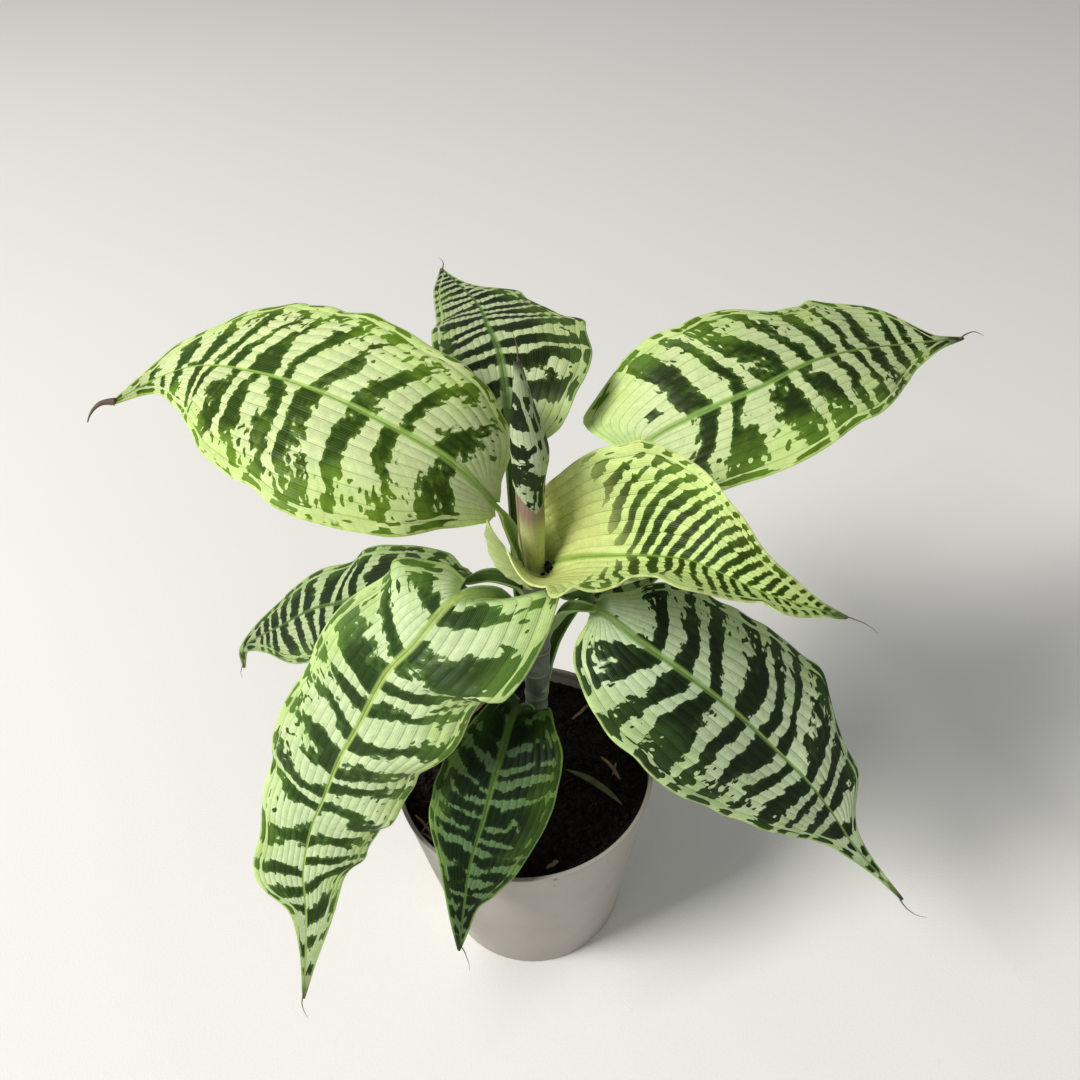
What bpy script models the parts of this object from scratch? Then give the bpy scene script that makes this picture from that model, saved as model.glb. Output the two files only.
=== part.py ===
# Potted dracaena: a young plant with nine zebra-banded leaves in a small plastic nursery pot.
# Metres, +Z up. The origin is the centre of the pot's flat underside.
# The plant is seen in its photograph from the -Y side.

import math

import bmesh
import bpy
import numpy as np

# Driving dimensions of the pot (metres)
POT_HEIGHT = 0.105
POT_TOP_RADIUS = 0.060
POT_FOOT_RADIUS = 0.045
POT_WALL = 0.0012
POT_FLOOR = 0.0018
POT_RIM_THICKNESS = 0.0022
POT_RIM_DEPTH = 0.0035
POT_EDGE_ROUND = 0.0006
POT_SEGMENTS = 56
DRAIN_HOLES = 6
DRAIN_HOLE_RADIUS = 0.0045
DRAIN_HOLE_SIDES = 18
DRAIN_CIRCLE_RADIUS = 0.029
DRAIN_BAND = 0.009
DRAIN_CUT = (-0.004, 0.008)

# Driving dimensions of the soil (metres)
SOIL_LEVEL = 0.0965
SOIL_UNEVENNESS = 0.0036
SOIL_CLOD = 0.014
SOIL_EDGE_DROP = 0.0015
SOIL_RINGS = 6
SOIL_RING_INSET = 0.35
SOIL_SEGMENTS = 40
STEM_HOLE_DEPTH = 0.042
STEM_HOLE_SIDES = 24

# The gap left between pieces that touch
GAP = 0.0003

# Driving dimensions of the stem (metres)
STEM_RADIUS = 0.0031
STEM_FOOT_RADIUS = 0.0034
STEM_TOP = 0.229
STEM_AXIS = ((0.004, 0.0, 0.050), (0.004, 0.0, 0.100), (0.008, 0.0, 0.160), (0.009, 0.0, 0.185),
             (0.0105, 0.0, 0.235))
STEM_FOOT_HEIGHTS = (0.098, 0.103)
STEM_RINGS = (0.112, 0.127, 0.149, 0.157, 0.172, 0.186, 0.196, 0.205, 0.213)
STEM_RING_REACH = 0.0015
STEM_RING_SWELL = 1.06

# Driving dimensions shared by all leaves (metres, degrees)
SHEATH_RADIUS = 0.0042
SHEATH_FLARE = 0.0010
SHEATH_CLASP = 150
SHEATH_MOUTH = 60
LEAN_OUT = 0.0030
LEAN_UP = 0.0035
PETIOLE_HALF_WIDTH = 0.0042
PETIOLE_CURL = 100
BLADE_THICKNESS = 0.0008
MIDRIB_THICKNESS = 0.0018
TIP_HALF_WIDTH = 0.0008
RIB_SWEEP = (50, 25, 18, 0)
RIB_BOW = 1.4
MIDRIB_REACH = 0.2

# Places along a blade, from its base (0) to its tip (1)
WIDTH_PLACES = (0.0, 0.04, 0.12, 0.25, 0.40, 0.55, 0.70, 0.82, 0.92, 1.0)
SHAPE_PLACES = (0.0, 0.3, 0.65, 1.0)
SWEEP_PLACES = (0.0, 0.15, 0.5, 1.0)

# Rows of a leaf sheet, and its columns from the midrib (0) to the margin (1)
SHEATH_ROWS = (0.0, 0.4, 0.55, 0.7, 0.85, 1.0)
PETIOLE_ROWS = (0.05, 0.13, 0.27, 0.5, 0.78)
BLADE_ROWS = (0.0, 0.03, 0.075, 0.14, 0.22, 0.31, 0.40, 0.49, 0.58, 0.67, 0.76, 0.85, 0.93, 1.0)
COLUMNS = (0.0, 0.12, 0.24, 0.36, 0.58, 0.8, 1.0)
INNER_COLUMNS = 3
SECTION_STEPS = 33
DIRECTION_STEP = 0.004

# How a leaf turns from its sheath into its blade: the share of the sheath where it starts to face
# up, the shares of the petiole where it starts to widen and where its ribs start to lean, and the
# powers with which the fold, the curl and an open petiole come in
FACE_START = 0.8
WIDEN_START = 0.5
LEAN_START = 0.6
FOLD_POWER = 2
CURL_POWER = 3
OPEN_POWER = 1.8


def half(widths, fold=(8, 8, 8, 5), curl=(-30, -30, -25, -10), sweep=RIB_SWEEP, teeth=()):
    """One half of a blade: half widths (mm) at WIDTH_PLACES, fold at the midrib and bend toward the
    margin (degrees), backward lean of its ribs (degrees), and teeth as (place, length, height mm)."""
    return {"widths": widths, "fold": fold, "curl": curl, "sweep": sweep, "teeth": teeth}


# The leaves, from the lowest up. The azimuth is where a leaf stands on the stem (degrees), the
# sheath is its lower and upper height (mm), petiole and midrib are points (mm) and face is the way
# its upper side looks.
LEAVES = {
    "leaf_lower_front": {
        "azimuth": -130, "sheath": (134, 142), "petiole": [(3, -7, 154)],
        "midrib": [(0, -11, 160), (-3, -16, 160), (-8, -29, 153), (-13, -39, 142), (-17, -47, 132),
                   (-23, -58, 119), (-30, -81, 90)],
        "face": (-0.1, -0.7, 0.7),
        "left": half((7, 12, 18, 25, 27, 24, 19, 6, 3), teeth=((0.78, 0.03, 2),)),
        "right": half((5, 9, 13, 19, 24, 24, 13, 8, 4))},
    "leaf_lower_back": {
        "azimuth": 45, "sheath": (156, 165), "petiole": [(19, 12, 180)],
        "midrib": [(30, 25, 188), (55, 56, 191), (78, 86, 182), (92, 108, 165)],
        "face": (0, -0.1, 1),
        "left": half((6, 10, 16, 20, 21, 18, 12, 6, 2)),
        "right": half((6, 10, 16, 20, 21, 18, 12, 6, 2))},
    "leaf_upper_back": {
        "azimuth": 125, "sheath": (172, 180), "petiole": [(2, 15, 205), (3, 32, 238)],
        "midrib": [(2, 51, 262), (2, 55, 274), (1, 67, 279), (-1, 81, 280), (-5, 100, 278),
                   (-10, 130, 272), (-30, 188, 262)],
        "face": (0, -0.5, 1),
        "left": half((8, 14, 24, 28, 25, 22, 18, 13, 6), curl=(-15, -15, -15, -5)),
        "right": half((9, 15, 24, 32, 30, 23, 12, 4, 1), curl=(-15, -15, -15, -5),
                      teeth=((0.34, 0.03, 2), (0.5, 0.04, -2), (0.62, 0.03, 3)))},
    "leaf_lower_right": {
        "azimuth": -30, "sheath": (193, 198), "petiole": [(23, -1, 207)],
        "midrib": [(34, -8, 213), (47, -23, 212), (64, -33, 203), (84, -40, 186), (101, -46, 168),
                   (111, -51, 158), (123, -57, 142), (133, -65, 128), (151, -80, 112)],
        "face": (0.2, -0.4, 0.9),
        "left": half((7, 11, 24, 35, 40, 43, 27, 6, 2),
                     teeth=((0.6, 0.03, 2), (0.67, 0.03, -2), (0.75, 0.03, 5))),
        "right": half((4, 7, 24, 36, 40, 34, 21, 7, 2))},
    "leaf_upper_right": {
        "azimuth": 60, "sheath": (184, 189), "petiole": [(18, 15, 210), (31, 22, 242)],
        "midrib": [(55, 35, 260), (75, 36, 272), (100, 41, 280), (119, 52, 282), (137, 62, 280),
                   (160, 75, 274), (196, 88, 268)],
        "face": (0, -0.3, 1),
        "left": half((13, 27, 37, 42, 42, 30, 27, 19, 3), curl=(-12, -12, -12, -5),
                     teeth=((0.52, 0.04, -2), (0.66, 0.03, 3))),
        "right": half((13, 24, 33, 37, 36, 34, 23, 12, 4), curl=(-8, -8, -8, -5))},
    "leaf_lower_left": {
        "azimuth": 210, "sheath": (202, 207), "petiole": [(-7, -7, 224)],
        "midrib": [(-19, -13, 230), (-37, -26, 218), (-48, -28, 206), (-62, -33, 182), (-73, -36, 163),
                   (-82, -41, 144), (-88, -46, 133), (-93, -58, 117), (-92, -70, 107), (-94, -95, 84)],
        "face": (0.15, -0.45, 0.85),
        "left": half((16, 25, 38, 44, 37, 32, 25, 13, 5), curl=(-40, -40, -35, -10),
                     teeth=((0.36, 0.04, 2), (0.45, 0.04, -2), (0.74, 0.03, 3))),
        "right": half((8, 14, 29, 31, 33, 30, 20, 7, 2), curl=(-35, -40, -35, -10),
                      teeth=((0.76, 0.04, 7),))},
    "leaf_left_back": {
        "azimuth": 165, "sheath": (211, 216), "petiole": [(-7, 3, 224)],
        "midrib": [(-19, 6, 220), (-45, 15, 212), (-72, 20, 197), (-86, 26, 188), (-103, 31, 174),
                   (-126, 35, 155), (-127, 31, 147)],
        "face": (-0.1, -0.4, 0.9),
        "left": half((8, 13, 20, 25, 27, 25, 20, 9, 3), curl=(-30, -35, -30, -10)),
        "right": half((5, 6, 13, 17, 22, 19, 15, 9, 3))},
    "leaf_upper_left": {
        "azimuth": 140, "sheath": (220, 224), "petiole": [(2, 10, 235), (-1, 10, 247)],
        "midrib": [(-4, 7, 258), (-19, 8, 278), (-40, 15, 290), (-62, 28, 295), (-87, 45, 294),
                   (-118, 67, 286), (-140, 76, 276), (-161, 71, 268)],
        "face": (0, -0.3, 1),
        "left": half((5, 9, 20, 36, 44, 41, 26, 11, 3), curl=(-35, -35, -30, -10)),
        "right": half((4, 8, 28, 38, 41, 43, 38, 16, 3), curl=(-25, -25, -20, -10),
                      teeth=((0.55, 0.03, -2), (0.72, 0.03, 3)))},
    "leaf_funnel": {
        "azimuth": -10, "sheath": (228, 231), "petiole": [(18, -2, 234)],
        "sheath_radius": 5.4, "clasp": 160, "open_all_along": True,
        "midrib": [(20, -4, 237), (28, -9, 243), (42, -16, 249), (55, -24, 255), (64, -30, 258),
                   (72, -37, 259), (88, -46, 256), (113, -52, 250)],
        "face": (-0.1, -0.3, 1), "face_at_base": (-0.7, 0, 0.7),
        "left": half((28, 29, 33, 39, 42, 31, 17, 9, 4), fold=(0, 40, 35, 5), curl=(105, 25, 10, 0),
                     sweep=(10, 10, 10, 0)),
        "right": half((54, 34, 26, 31, 35, 28, 13, 7, 3),
                      fold=((0, 0.04, 0.12, 0.3, 0.65, 1), (0, 0, 8, 26, 32, 5)),
                      curl=((0, 0.04, 0.12, 0.3, 0.65, 1), (175, 135, 60, 15, 10, 0)),
                      sweep=((0, 0.04, 0.12, 0.3, 0.65, 1), (0, 8, 18, 22, 12, 0)))},
}

# Driving dimensions of the spear: the rolled sheath that stands on the stem and the rolled young
# blade in it (metres)
SPEAR_FOOT = 0.2296
SPEAR_TOP = 0.276
SPEAR_SLANT = 0.007
SPEAR_WALL = 0.0008
SPEAR_SIDES = 16
SPEAR_AXIS = ((0.0105, 0.0, 0.229), (0.0098, 0.0, 0.245), (0.0098, 0.0, 0.276), (0.0095, 0.001, 0.300),
              (0.0078, 0.002, 0.326))
SPEAR_SHEATH_RADII = ((0.2296, 0.0038), (0.236, 0.0040), (0.250, 0.0050), (0.276, 0.0050))
BLADE_ROLL_RADII = ((0.262, 0.0028), (0.271, 0.0033), (0.278, 0.0043), (0.286, 0.0066), (0.294, 0.0060),
                    (0.303, 0.0042), (0.313, 0.0024), (0.322, 0.0012))
BLADE_ROLL_START = -75
BLADE_ROLL_TURN = 400
BLADE_ROLL_TIGHTNESS = 0.4
BLADE_ROLL_STEPS = 18
SPEAR_BLADE_THICKNESS = 0.0006
SPEAR_BLADE_THIN = 0.2
SPEAR_BLADE_WEIGHTS = (1.0, 1.0, 1.0, 1.0, 1.0, 1.0, 0.3, 0.0)
SPEAR_SHEATH_ROWS = (0.0, 0.15, 0.3, 0.5, 0.75, 1.0)
WELD_REACH = 0.00001

for old in list(bpy.data.objects):
    bpy.data.objects.remove(old, do_unlink=True)

plant_parts = bpy.data.collections.new("potted_dracaena")
cutters = bpy.data.collections.new("cutters")
bpy.context.scene.collection.children.link(plant_parts)
bpy.context.scene.collection.children.link(cutters)


def make_material(name, colour, roughness, metallic=0.0):
    """A plain material of one colour."""
    material = bpy.data.materials.new(name)
    material.use_nodes = True
    shader = material.node_tree.nodes["Principled BSDF"]
    shader.inputs["Base Color"].default_value = (*colour, 1.0)
    shader.inputs["Roughness"].default_value = roughness
    shader.inputs["Metallic"].default_value = metallic
    return material


def add_object(name, data, material, collection=None):
    """An object in the part's collection, or in another."""
    if material is not None:
        data.materials.append(material)
    thing = bpy.data.objects.new(name, data)
    (collection or plant_parts).objects.link(thing)
    return thing


def turned_body(name, profile, segments, material):
    """A body turned about the upright axis from a profile of (radius, height) that starts on the
    axis and runs down its outer side; the points at full height can be moved by the group top."""
    mesh = bpy.data.meshes.new(name)
    mesh.from_pydata([(r, 0.0, z) for r, z in profile], [(i, i + 1) for i in range(len(profile) - 1)], [])
    body = add_object(name, mesh, material)
    screw = body.modifiers.new("turn", "SCREW")
    screw.axis = "Z"
    screw.angle = 2 * math.pi
    screw.steps = segments
    screw.render_steps = segments
    screw.use_merge_vertices = True
    screw.merge_threshold = 0.00005
    screw.use_smooth_shade = True
    return body


def cylinder_cutter(name, radius, low, high, sides, x, y):
    """An upright cylinder that is only used to cut with."""
    mesh = bpy.data.meshes.new(name)
    body = bmesh.new()
    bmesh.ops.create_cone(body, cap_ends=True, segments=sides, radius1=radius, radius2=radius,
                          depth=high - low)
    body.to_mesh(mesh)
    body.free()
    cutter = add_object(name, mesh, None, cutters)
    cutter.location = (x, y, (low + high) / 2)
    cutter.hide_render = True
    cutter.display_type = "WIRE"
    return cutter


def cut_away(thing, cutter):
    """Take the cutter's body out of the thing."""
    cut = thing.modifiers.new("cut", "BOOLEAN")
    cut.operation = "DIFFERENCE"
    cut.solver = "EXACT"
    cut.object = cutter


def unit(vectors):
    """Vectors of length one."""
    return vectors / np.maximum(np.linalg.norm(vectors, axis=-1, keepdims=True), 1e-12)


def smooth_value(at, places, values):
    """A smooth run through values at places that never overshoots them."""
    places = np.array(places, float)
    values = np.array(values, float)
    spans = np.diff(places)
    slopes = np.diff(values) / spans
    lean = np.zeros(len(places))
    lean[0] = slopes[0]
    lean[-1] = slopes[-1]
    for i in range(1, len(places) - 1):
        if slopes[i - 1] * slopes[i] > 0:
            lean[i] = 2 * slopes[i - 1] * slopes[i] / (slopes[i - 1] + slopes[i])
    at = np.clip(at, places[0], places[-1])
    k = np.clip(np.searchsorted(places, at, side="right") - 1, 0, len(spans) - 1)
    u = (at - places[k]) / spans[k]
    start = (1 + 2 * u) * (1 - u) ** 2 * values[k] + u * (1 - u) ** 2 * spans[k] * lean[k]
    end = u * u * (3 - 2 * u) * values[k + 1] + u * u * (u - 1) * spans[k] * lean[k + 1]
    return start + end


def along_blade(at, values, places):
    """Values at the usual places of a blade, or at places of their own given with them."""
    if isinstance(values[0], tuple):
        places, values = values
    return smooth_value(at, places, values)


def smooth_line(points, steps=24):
    """A smooth line through points, its running length and the length at each point."""
    knots = np.array(points, float)
    knots = np.vstack([2 * knots[0] - knots[1], knots, 2 * knots[-1] - knots[-2]])
    line = []
    marks = []
    for i in range(1, len(knots) - 2):
        q = knots[i - 1:i + 3]
        gaps = np.linalg.norm(np.diff(q, axis=0), axis=1) ** 0.5
        k = np.concatenate([[0], np.cumsum(gaps)])
        marks.append(len(line))
        for t in np.linspace(k[1], k[2], steps, endpoint=False):
            a = [((k[n + 1] - t) * q[n] + (t - k[n]) * q[n + 1]) / (k[n + 1] - k[n]) for n in range(3)]
            b = [((k[n + 2] - t) * a[n] + (t - k[n]) * a[n + 1]) / (k[n + 2] - k[n]) for n in range(2)]
            line.append(((k[2] - t) * b[0] + (t - k[1]) * b[1]) / (k[2] - k[1]))
    marks.append(len(line))
    line.append(knots[-2])
    line = np.array(line)
    run = np.concatenate([[0], np.cumsum(np.linalg.norm(np.diff(line, axis=0), axis=1))])
    return line, run, run[marks]


def on_line(line, run, lengths):
    """Points of a line at running lengths."""
    return np.stack([np.interp(lengths, run, line[:, i]) for i in range(3)], -1)


def stem_centre(height):
    """The stem's centre (metres) at a height."""
    x, y, z = np.array(STEM_AXIS).T
    return np.array([np.interp(height, z, x), np.interp(height, z, y), height])


def leaf_sheet(leaf):
    """Grid of points (mm) in the middle of a leaf's thickness: rows from the sheath's foot to the
    blade's tip, columns from the left margin to the right. Absent points are not a number."""
    turn = math.radians(leaf["azimuth"])
    outward = np.array([math.cos(turn), math.sin(turn), 0.0])
    radius = leaf.get("sheath_radius", SHEATH_RADIUS * 1000)
    clasp = math.radians(leaf.get("clasp", SHEATH_CLASP))
    low, high = leaf["sheath"]
    flare = SHEATH_FLARE * 1000
    points = []
    for share in (0.0, 0.5, 1.0):
        height = low + (high - low) * share
        points.append(stem_centre(height / 1000) * 1000 + outward * (radius + flare * share))
    lean = [points[-1] + outward * LEAN_OUT * 1000 + (0, 0, LEAN_UP * 1000)]
    if leaf.get("open_all_along"):
        lean = []
    points += lean + leaf["petiole"] + leaf["midrib"]
    line, run, marks = smooth_line(points)
    base = marks[3 + len(lean) + len(leaf["petiole"])]
    total = run[-1]
    sheath_end = marks[2]
    opening = (0, sheath_end * SHEATH_ROWS[1], sheath_end)
    lengths = np.concatenate([sheath_end * np.array(SHEATH_ROWS),
                              sheath_end + (base - sheath_end) * np.array(PETIOLE_ROWS),
                              base + (total - base) * np.array(BLADE_ROWS)])
    centre = on_line(line, run, lengths)
    step = DIRECTION_STEP * total
    ahead = on_line(line, run, np.minimum(lengths + step, total))
    behind = on_line(line, run, np.maximum(lengths - step, 0))
    forward = unit(ahead - behind)
    place = np.clip((lengths - base) / (total - base), 0, 1)
    face_places = [leaf.get("face_at_base", leaf["face"]), leaf["face"], leaf["face"], leaf["face"]]
    face = np.stack([smooth_value(place, SHAPE_PLACES, [f[i] for f in face_places]) for i in range(3)], -1)
    face_start = sheath_end * FACE_START
    blend = np.clip((lengths - face_start) / (base - face_start), 0, 1)[:, None]
    blend = blend * blend * (3 - 2 * blend)
    face = -outward * (1 - blend) + unit(face) * blend
    up = unit(face - forward * np.sum(face * forward, axis=1)[:, None])
    side = np.cross(forward, up)
    columns = list(reversed([-c for c in COLUMNS[1:]])) + list(COLUMNS)
    inner = COLUMNS[-1] if leaf.get("open_all_along") else COLUMNS[INNER_COLUMNS]
    fine = np.linspace(0, 1, SECTION_STEPS)
    sheet = np.full((len(lengths), len(columns), 3), np.nan)
    for sign, name in ((-1, "left"), (1, "right")):
        shape = leaf[name]
        width = smooth_value(place, WIDTH_PLACES, shape["widths"] + (TIP_HALF_WIDTH * 1000,))
        for tooth_place, tooth_length, tooth_height in shape["teeth"]:
            width = width + tooth_height * np.exp(-((place - tooth_place) / tooth_length) ** 2)
        fold = np.radians(along_blade(place, shape["fold"], SHAPE_PLACES))
        curl = np.radians(along_blade(place, shape["curl"], SHAPE_PLACES))
        sweep = np.radians(along_blade(place, shape["sweep"], SWEEP_PLACES))
        for i, length in enumerate(lengths):
            row_width, row_fold, row_curl, row_sweep = width[i], fold[i], curl[i], sweep[i]
            if length < base:
                x = min(max((length - sheath_end) / (base - sheath_end), 0), 1)
                away = np.linalg.norm((centre[i] - stem_centre(centre[i][2] / 1000) * 1000)[:2])
                if leaf.get("open_all_along"):
                    ease = x ** OPEN_POWER
                    row_width = away * clasp * (1 - ease) + width[i] * ease
                    row_curl = clasp * (1 - ease) + curl[i] * ease
                    row_fold = fold[i] * ease
                else:
                    hold = np.interp(length, opening, (clasp, clasp, math.radians(SHEATH_MOUTH)))
                    narrow = min(x / PETIOLE_ROWS[1], 1)
                    row_width = away * hold * (1 - narrow) + PETIOLE_HALF_WIDTH * 1000 * narrow
                    row_width = np.interp(x, (WIDEN_START, 1), (row_width, width[i] * inner))
                    row_curl = hold * (1 - narrow) + math.radians(PETIOLE_CURL) * narrow
                    ease = x ** CURL_POWER
                    row_curl = row_curl * (1 - ease) + curl[i] * inner * ease
                    row_width, row_curl = row_width / inner, row_curl / inner
                    row_fold = fold[i] * x ** FOLD_POWER
                row_sweep = sweep[i] * min(max((x - LEAN_START) / (1 - LEAN_START), 0), 1)
            angle = row_fold + row_curl * fine
            gaps = np.diff(fine)
            flat = np.concatenate([[0], np.cumsum((np.cos(angle[1:]) + np.cos(angle[:-1])) / 2 * gaps)])
            rise = np.concatenate([[0], np.cumsum((np.sin(angle[1:]) + np.sin(angle[:-1])) / 2 * gaps)])
            for j, column in enumerate(columns):
                reach = abs(column)
                if column * sign < 0 or (length < base and reach > inner):
                    continue
                across = np.interp(reach, fine, flat) * row_width
                lift = np.interp(reach, fine, rise) * row_width
                back = math.tan(row_sweep) * row_width * reach ** RIB_BOW
                sheet[i, j] = centre[i] + sign * side[i] * across + up[i] * lift - forward[i] * back
    return sheet


def add_sheet(name, sheet, thickness, material, thin=1.0, weights=None):
    """A thin piece: an open sheet of triangles through a grid of points (mm), made solid evenly to
    both sides. Where the weights are 0 it has only the share named thin of its thickness."""
    rows, columns = sheet.shape[:2]
    present = ~np.isnan(sheet[..., 0])
    number = -np.ones((rows, columns), int)
    number[present] = np.arange(present.sum())
    triangles = []
    for i in range(rows - 1):
        for j in range(columns - 1):
            a, b, c, d = number[i, j], number[i, j + 1], number[i + 1, j + 1], number[i + 1, j]
            if min(a, b, c, d) < 0:
                continue
            if j < columns // 2:
                triangles += [(a, b, c), (a, c, d)]
            else:
                triangles += [(a, b, d), (b, c, d)]
    mesh = bpy.data.meshes.new(name)
    mesh.from_pydata([tuple(p) for p in sheet[present] / 1000], [], [tuple(map(int, t)) for t in triangles])
    mesh.validate()
    mesh.shade_smooth()
    piece = add_object(name, mesh, material)
    solid = piece.modifiers.new("thickness", "SOLIDIFY")
    solid.thickness = thickness
    solid.offset = 0
    if weights is not None:
        group = piece.vertex_groups.new(name="thick")
        for index, weight in enumerate(weights[present]):
            group.add([index], float(weight), "REPLACE")
        solid.vertex_group = "thick"
        solid.thickness_vertex_group = thin
    return piece


def outer_radius(height):
    """The pot's outer radius at a height."""
    return POT_FOOT_RADIUS + (POT_TOP_RADIUS - POT_FOOT_RADIUS) * height / POT_HEIGHT


# The pot: a thin tapered plastic shell, turned, with drain holes in its floor
pot_plastic = make_material("pot_plastic", (0.33, 0.30, 0.28), 0.45)
rim_low = POT_HEIGHT - POT_RIM_DEPTH
pot_profile = [
    (0.0, POT_FLOOR),
    (DRAIN_CIRCLE_RADIUS - DRAIN_BAND, POT_FLOOR),
    (DRAIN_CIRCLE_RADIUS + DRAIN_BAND, POT_FLOOR),
    (outer_radius(POT_FLOOR) - POT_WALL, POT_FLOOR),
    (outer_radius(rim_low) - POT_WALL, rim_low),
    (outer_radius(POT_HEIGHT) - POT_RIM_THICKNESS, POT_HEIGHT - POT_EDGE_ROUND),
    (outer_radius(POT_HEIGHT) - POT_RIM_THICKNESS + POT_EDGE_ROUND, POT_HEIGHT),
    (outer_radius(POT_HEIGHT) - POT_EDGE_ROUND, POT_HEIGHT),
    (outer_radius(POT_HEIGHT - POT_EDGE_ROUND), POT_HEIGHT - POT_EDGE_ROUND),
    (outer_radius(POT_EDGE_ROUND), POT_EDGE_ROUND),
    (POT_FOOT_RADIUS - POT_EDGE_ROUND, 0.0),
    (DRAIN_CIRCLE_RADIUS + DRAIN_BAND, 0.0),
    (DRAIN_CIRCLE_RADIUS - DRAIN_BAND, 0.0),
    (0.0, 0.0),
]
pot = turned_body("pot", pot_profile, POT_SEGMENTS, pot_plastic)
for k in range(DRAIN_HOLES):
    angle = 2 * math.pi * (k + 0.5) / DRAIN_HOLES
    cutter = cylinder_cutter("drain_hole_cutter_%d" % k, DRAIN_HOLE_RADIUS, *DRAIN_CUT, DRAIN_HOLE_SIDES,
                             DRAIN_CIRCLE_RADIUS * math.cos(angle), DRAIN_CIRCLE_RADIUS * math.sin(angle))
    cut_away(pot, cutter)

# The soil: a plug of dark peat that fills the pot, uneven on top, with a plain hole for the stem
soil_peat = make_material("soil_peat", (0.035, 0.024, 0.018), 0.95)
soil_foot = POT_FLOOR + GAP
soil_edge = SOIL_LEVEL - SOIL_EDGE_DROP
soil_edge_radius = outer_radius(soil_edge) - POT_WALL - GAP
soil_profile = [(0.0, SOIL_LEVEL)]
for ring in range(1, SOIL_RINGS + 1):
    soil_profile.append((soil_edge_radius * (ring - SOIL_RING_INSET) / SOIL_RINGS, SOIL_LEVEL))
soil_profile.append((soil_edge_radius, soil_edge))
soil_profile.append((outer_radius(soil_foot) - POT_WALL - GAP, soil_foot))
soil_profile.append((0.0, soil_foot))
soil = turned_body("soil", soil_profile, SOIL_SEGMENTS, soil_peat)
top_group = soil.vertex_groups.new(name="top")
top_group.add(list(range(SOIL_RINGS + 1)), 1.0, "REPLACE")
crumbs = bpy.data.textures.new("soil_unevenness", "CLOUDS")
crumbs.noise_scale = SOIL_CLOD
crumbs.noise_depth = 1
rough = soil.modifiers.new("unevenness", "DISPLACE")
rough.texture = crumbs
rough.texture_coords = "LOCAL"
rough.direction = "Z"
rough.mid_level = 0.5
rough.strength = SOIL_UNEVENNESS
rough.vertex_group = "top"
hole_bottom = SOIL_LEVEL - STEM_HOLE_DEPTH
stem_hole_cutter = cylinder_cutter("stem_hole_cutter", STEM_FOOT_RADIUS + GAP, hole_bottom, POT_HEIGHT,
                                   STEM_HOLE_SIDES, STEM_AXIS[0][0], STEM_AXIS[0][1])
cut_away(soil, stem_hole_cutter)

# The stem: one upright shoot, round, with faint rings where older leaves stood
stem_green = make_material("stem_green", (0.16, 0.20, 0.11), 0.5)
stem_heights = [hole_bottom + GAP, *STEM_FOOT_HEIGHTS]
for ring_height in STEM_RINGS:
    stem_heights += [ring_height - STEM_RING_REACH, ring_height, ring_height + STEM_RING_REACH]
stem_heights.append(STEM_TOP)
stem_curve = bpy.data.curves.new("stem", "CURVE")
stem_curve.dimensions = "3D"
stem_curve.bevel_depth = STEM_RADIUS
stem_curve.bevel_resolution = 3
stem_curve.use_fill_caps = True
stem_line = stem_curve.splines.new("POLY")
stem_line.points.add(len(stem_heights) - 1)
for point, height in zip(stem_line.points, stem_heights):
    point.co = (*stem_centre(height), 1.0)
    point.radius = STEM_RING_SWELL if height in STEM_RINGS or height <= STEM_FOOT_HEIGHTS[0] else 1.0
stem_line.use_smooth = True
add_object("stem", stem_curve, stem_green)

# The leaves: each one sheet that clasps the stem, narrows to a channelled petiole and opens to a
# broad pointed blade, thickest along its midrib
leaf_dark = make_material("leaf_dark_banded", (0.16, 0.27, 0.09), 0.38)
leaf_light = make_material("leaf_light_banded", (0.34, 0.46, 0.16), 0.38)
light_leaves = ("leaf_upper_left", "leaf_upper_right", "leaf_funnel")
across = np.abs(np.array([-c for c in reversed(COLUMNS[1:])] + list(COLUMNS)))
down = np.concatenate([np.ones(len(SHEATH_ROWS) + len(PETIOLE_ROWS)), np.array(BLADE_ROWS)])
rib_weight = np.clip(1 - across / MIDRIB_REACH, 0, 1)[None, :] * (1 - down)[:, None]
for leaf_name, leaf in LEAVES.items():
    material = leaf_light if leaf_name in light_leaves else leaf_dark
    add_sheet(leaf_name, leaf_sheet(leaf), MIDRIB_THICKNESS, material, BLADE_THICKNESS / MIDRIB_THICKNESS,
              rib_weight)


def spear_centre(height):
    """The spear's centre (metres) at a height."""
    heights = [p[2] for p in SPEAR_AXIS]
    return np.array([smooth_value(height, heights, [p[i] for p in SPEAR_AXIS]) for i in range(2)] + [height])


# The spear's sheath: a rolled tube with a slanting mouth that stands on the stem
sheath_green = make_material("spear_sheath_green", (0.42, 0.40, 0.20), 0.5)
tube_rows = []
for share in SPEAR_SHEATH_ROWS:
    row = []
    for k in range(SPEAR_SIDES + 1):
        angle = 2 * math.pi * k / SPEAR_SIDES
        mouth = SPEAR_TOP + SPEAR_SLANT * (math.cos(angle) - 1) / 2
        height = SPEAR_FOOT + (mouth - SPEAR_FOOT) * share
        radius = np.interp(height, *zip(*SPEAR_SHEATH_RADII))
        row.append(spear_centre(height) + radius * np.array([math.cos(angle), math.sin(angle), 0]))
    tube_rows.append(row)
spear_sheath = add_sheet("spear_sheath", np.array(tube_rows) * 1000, SPEAR_WALL, sheath_green)
seam = spear_sheath.modifiers.new("seam", "WELD")
seam.merge_threshold = WELD_REACH
spear_sheath.modifiers.move(1, 0)

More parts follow.
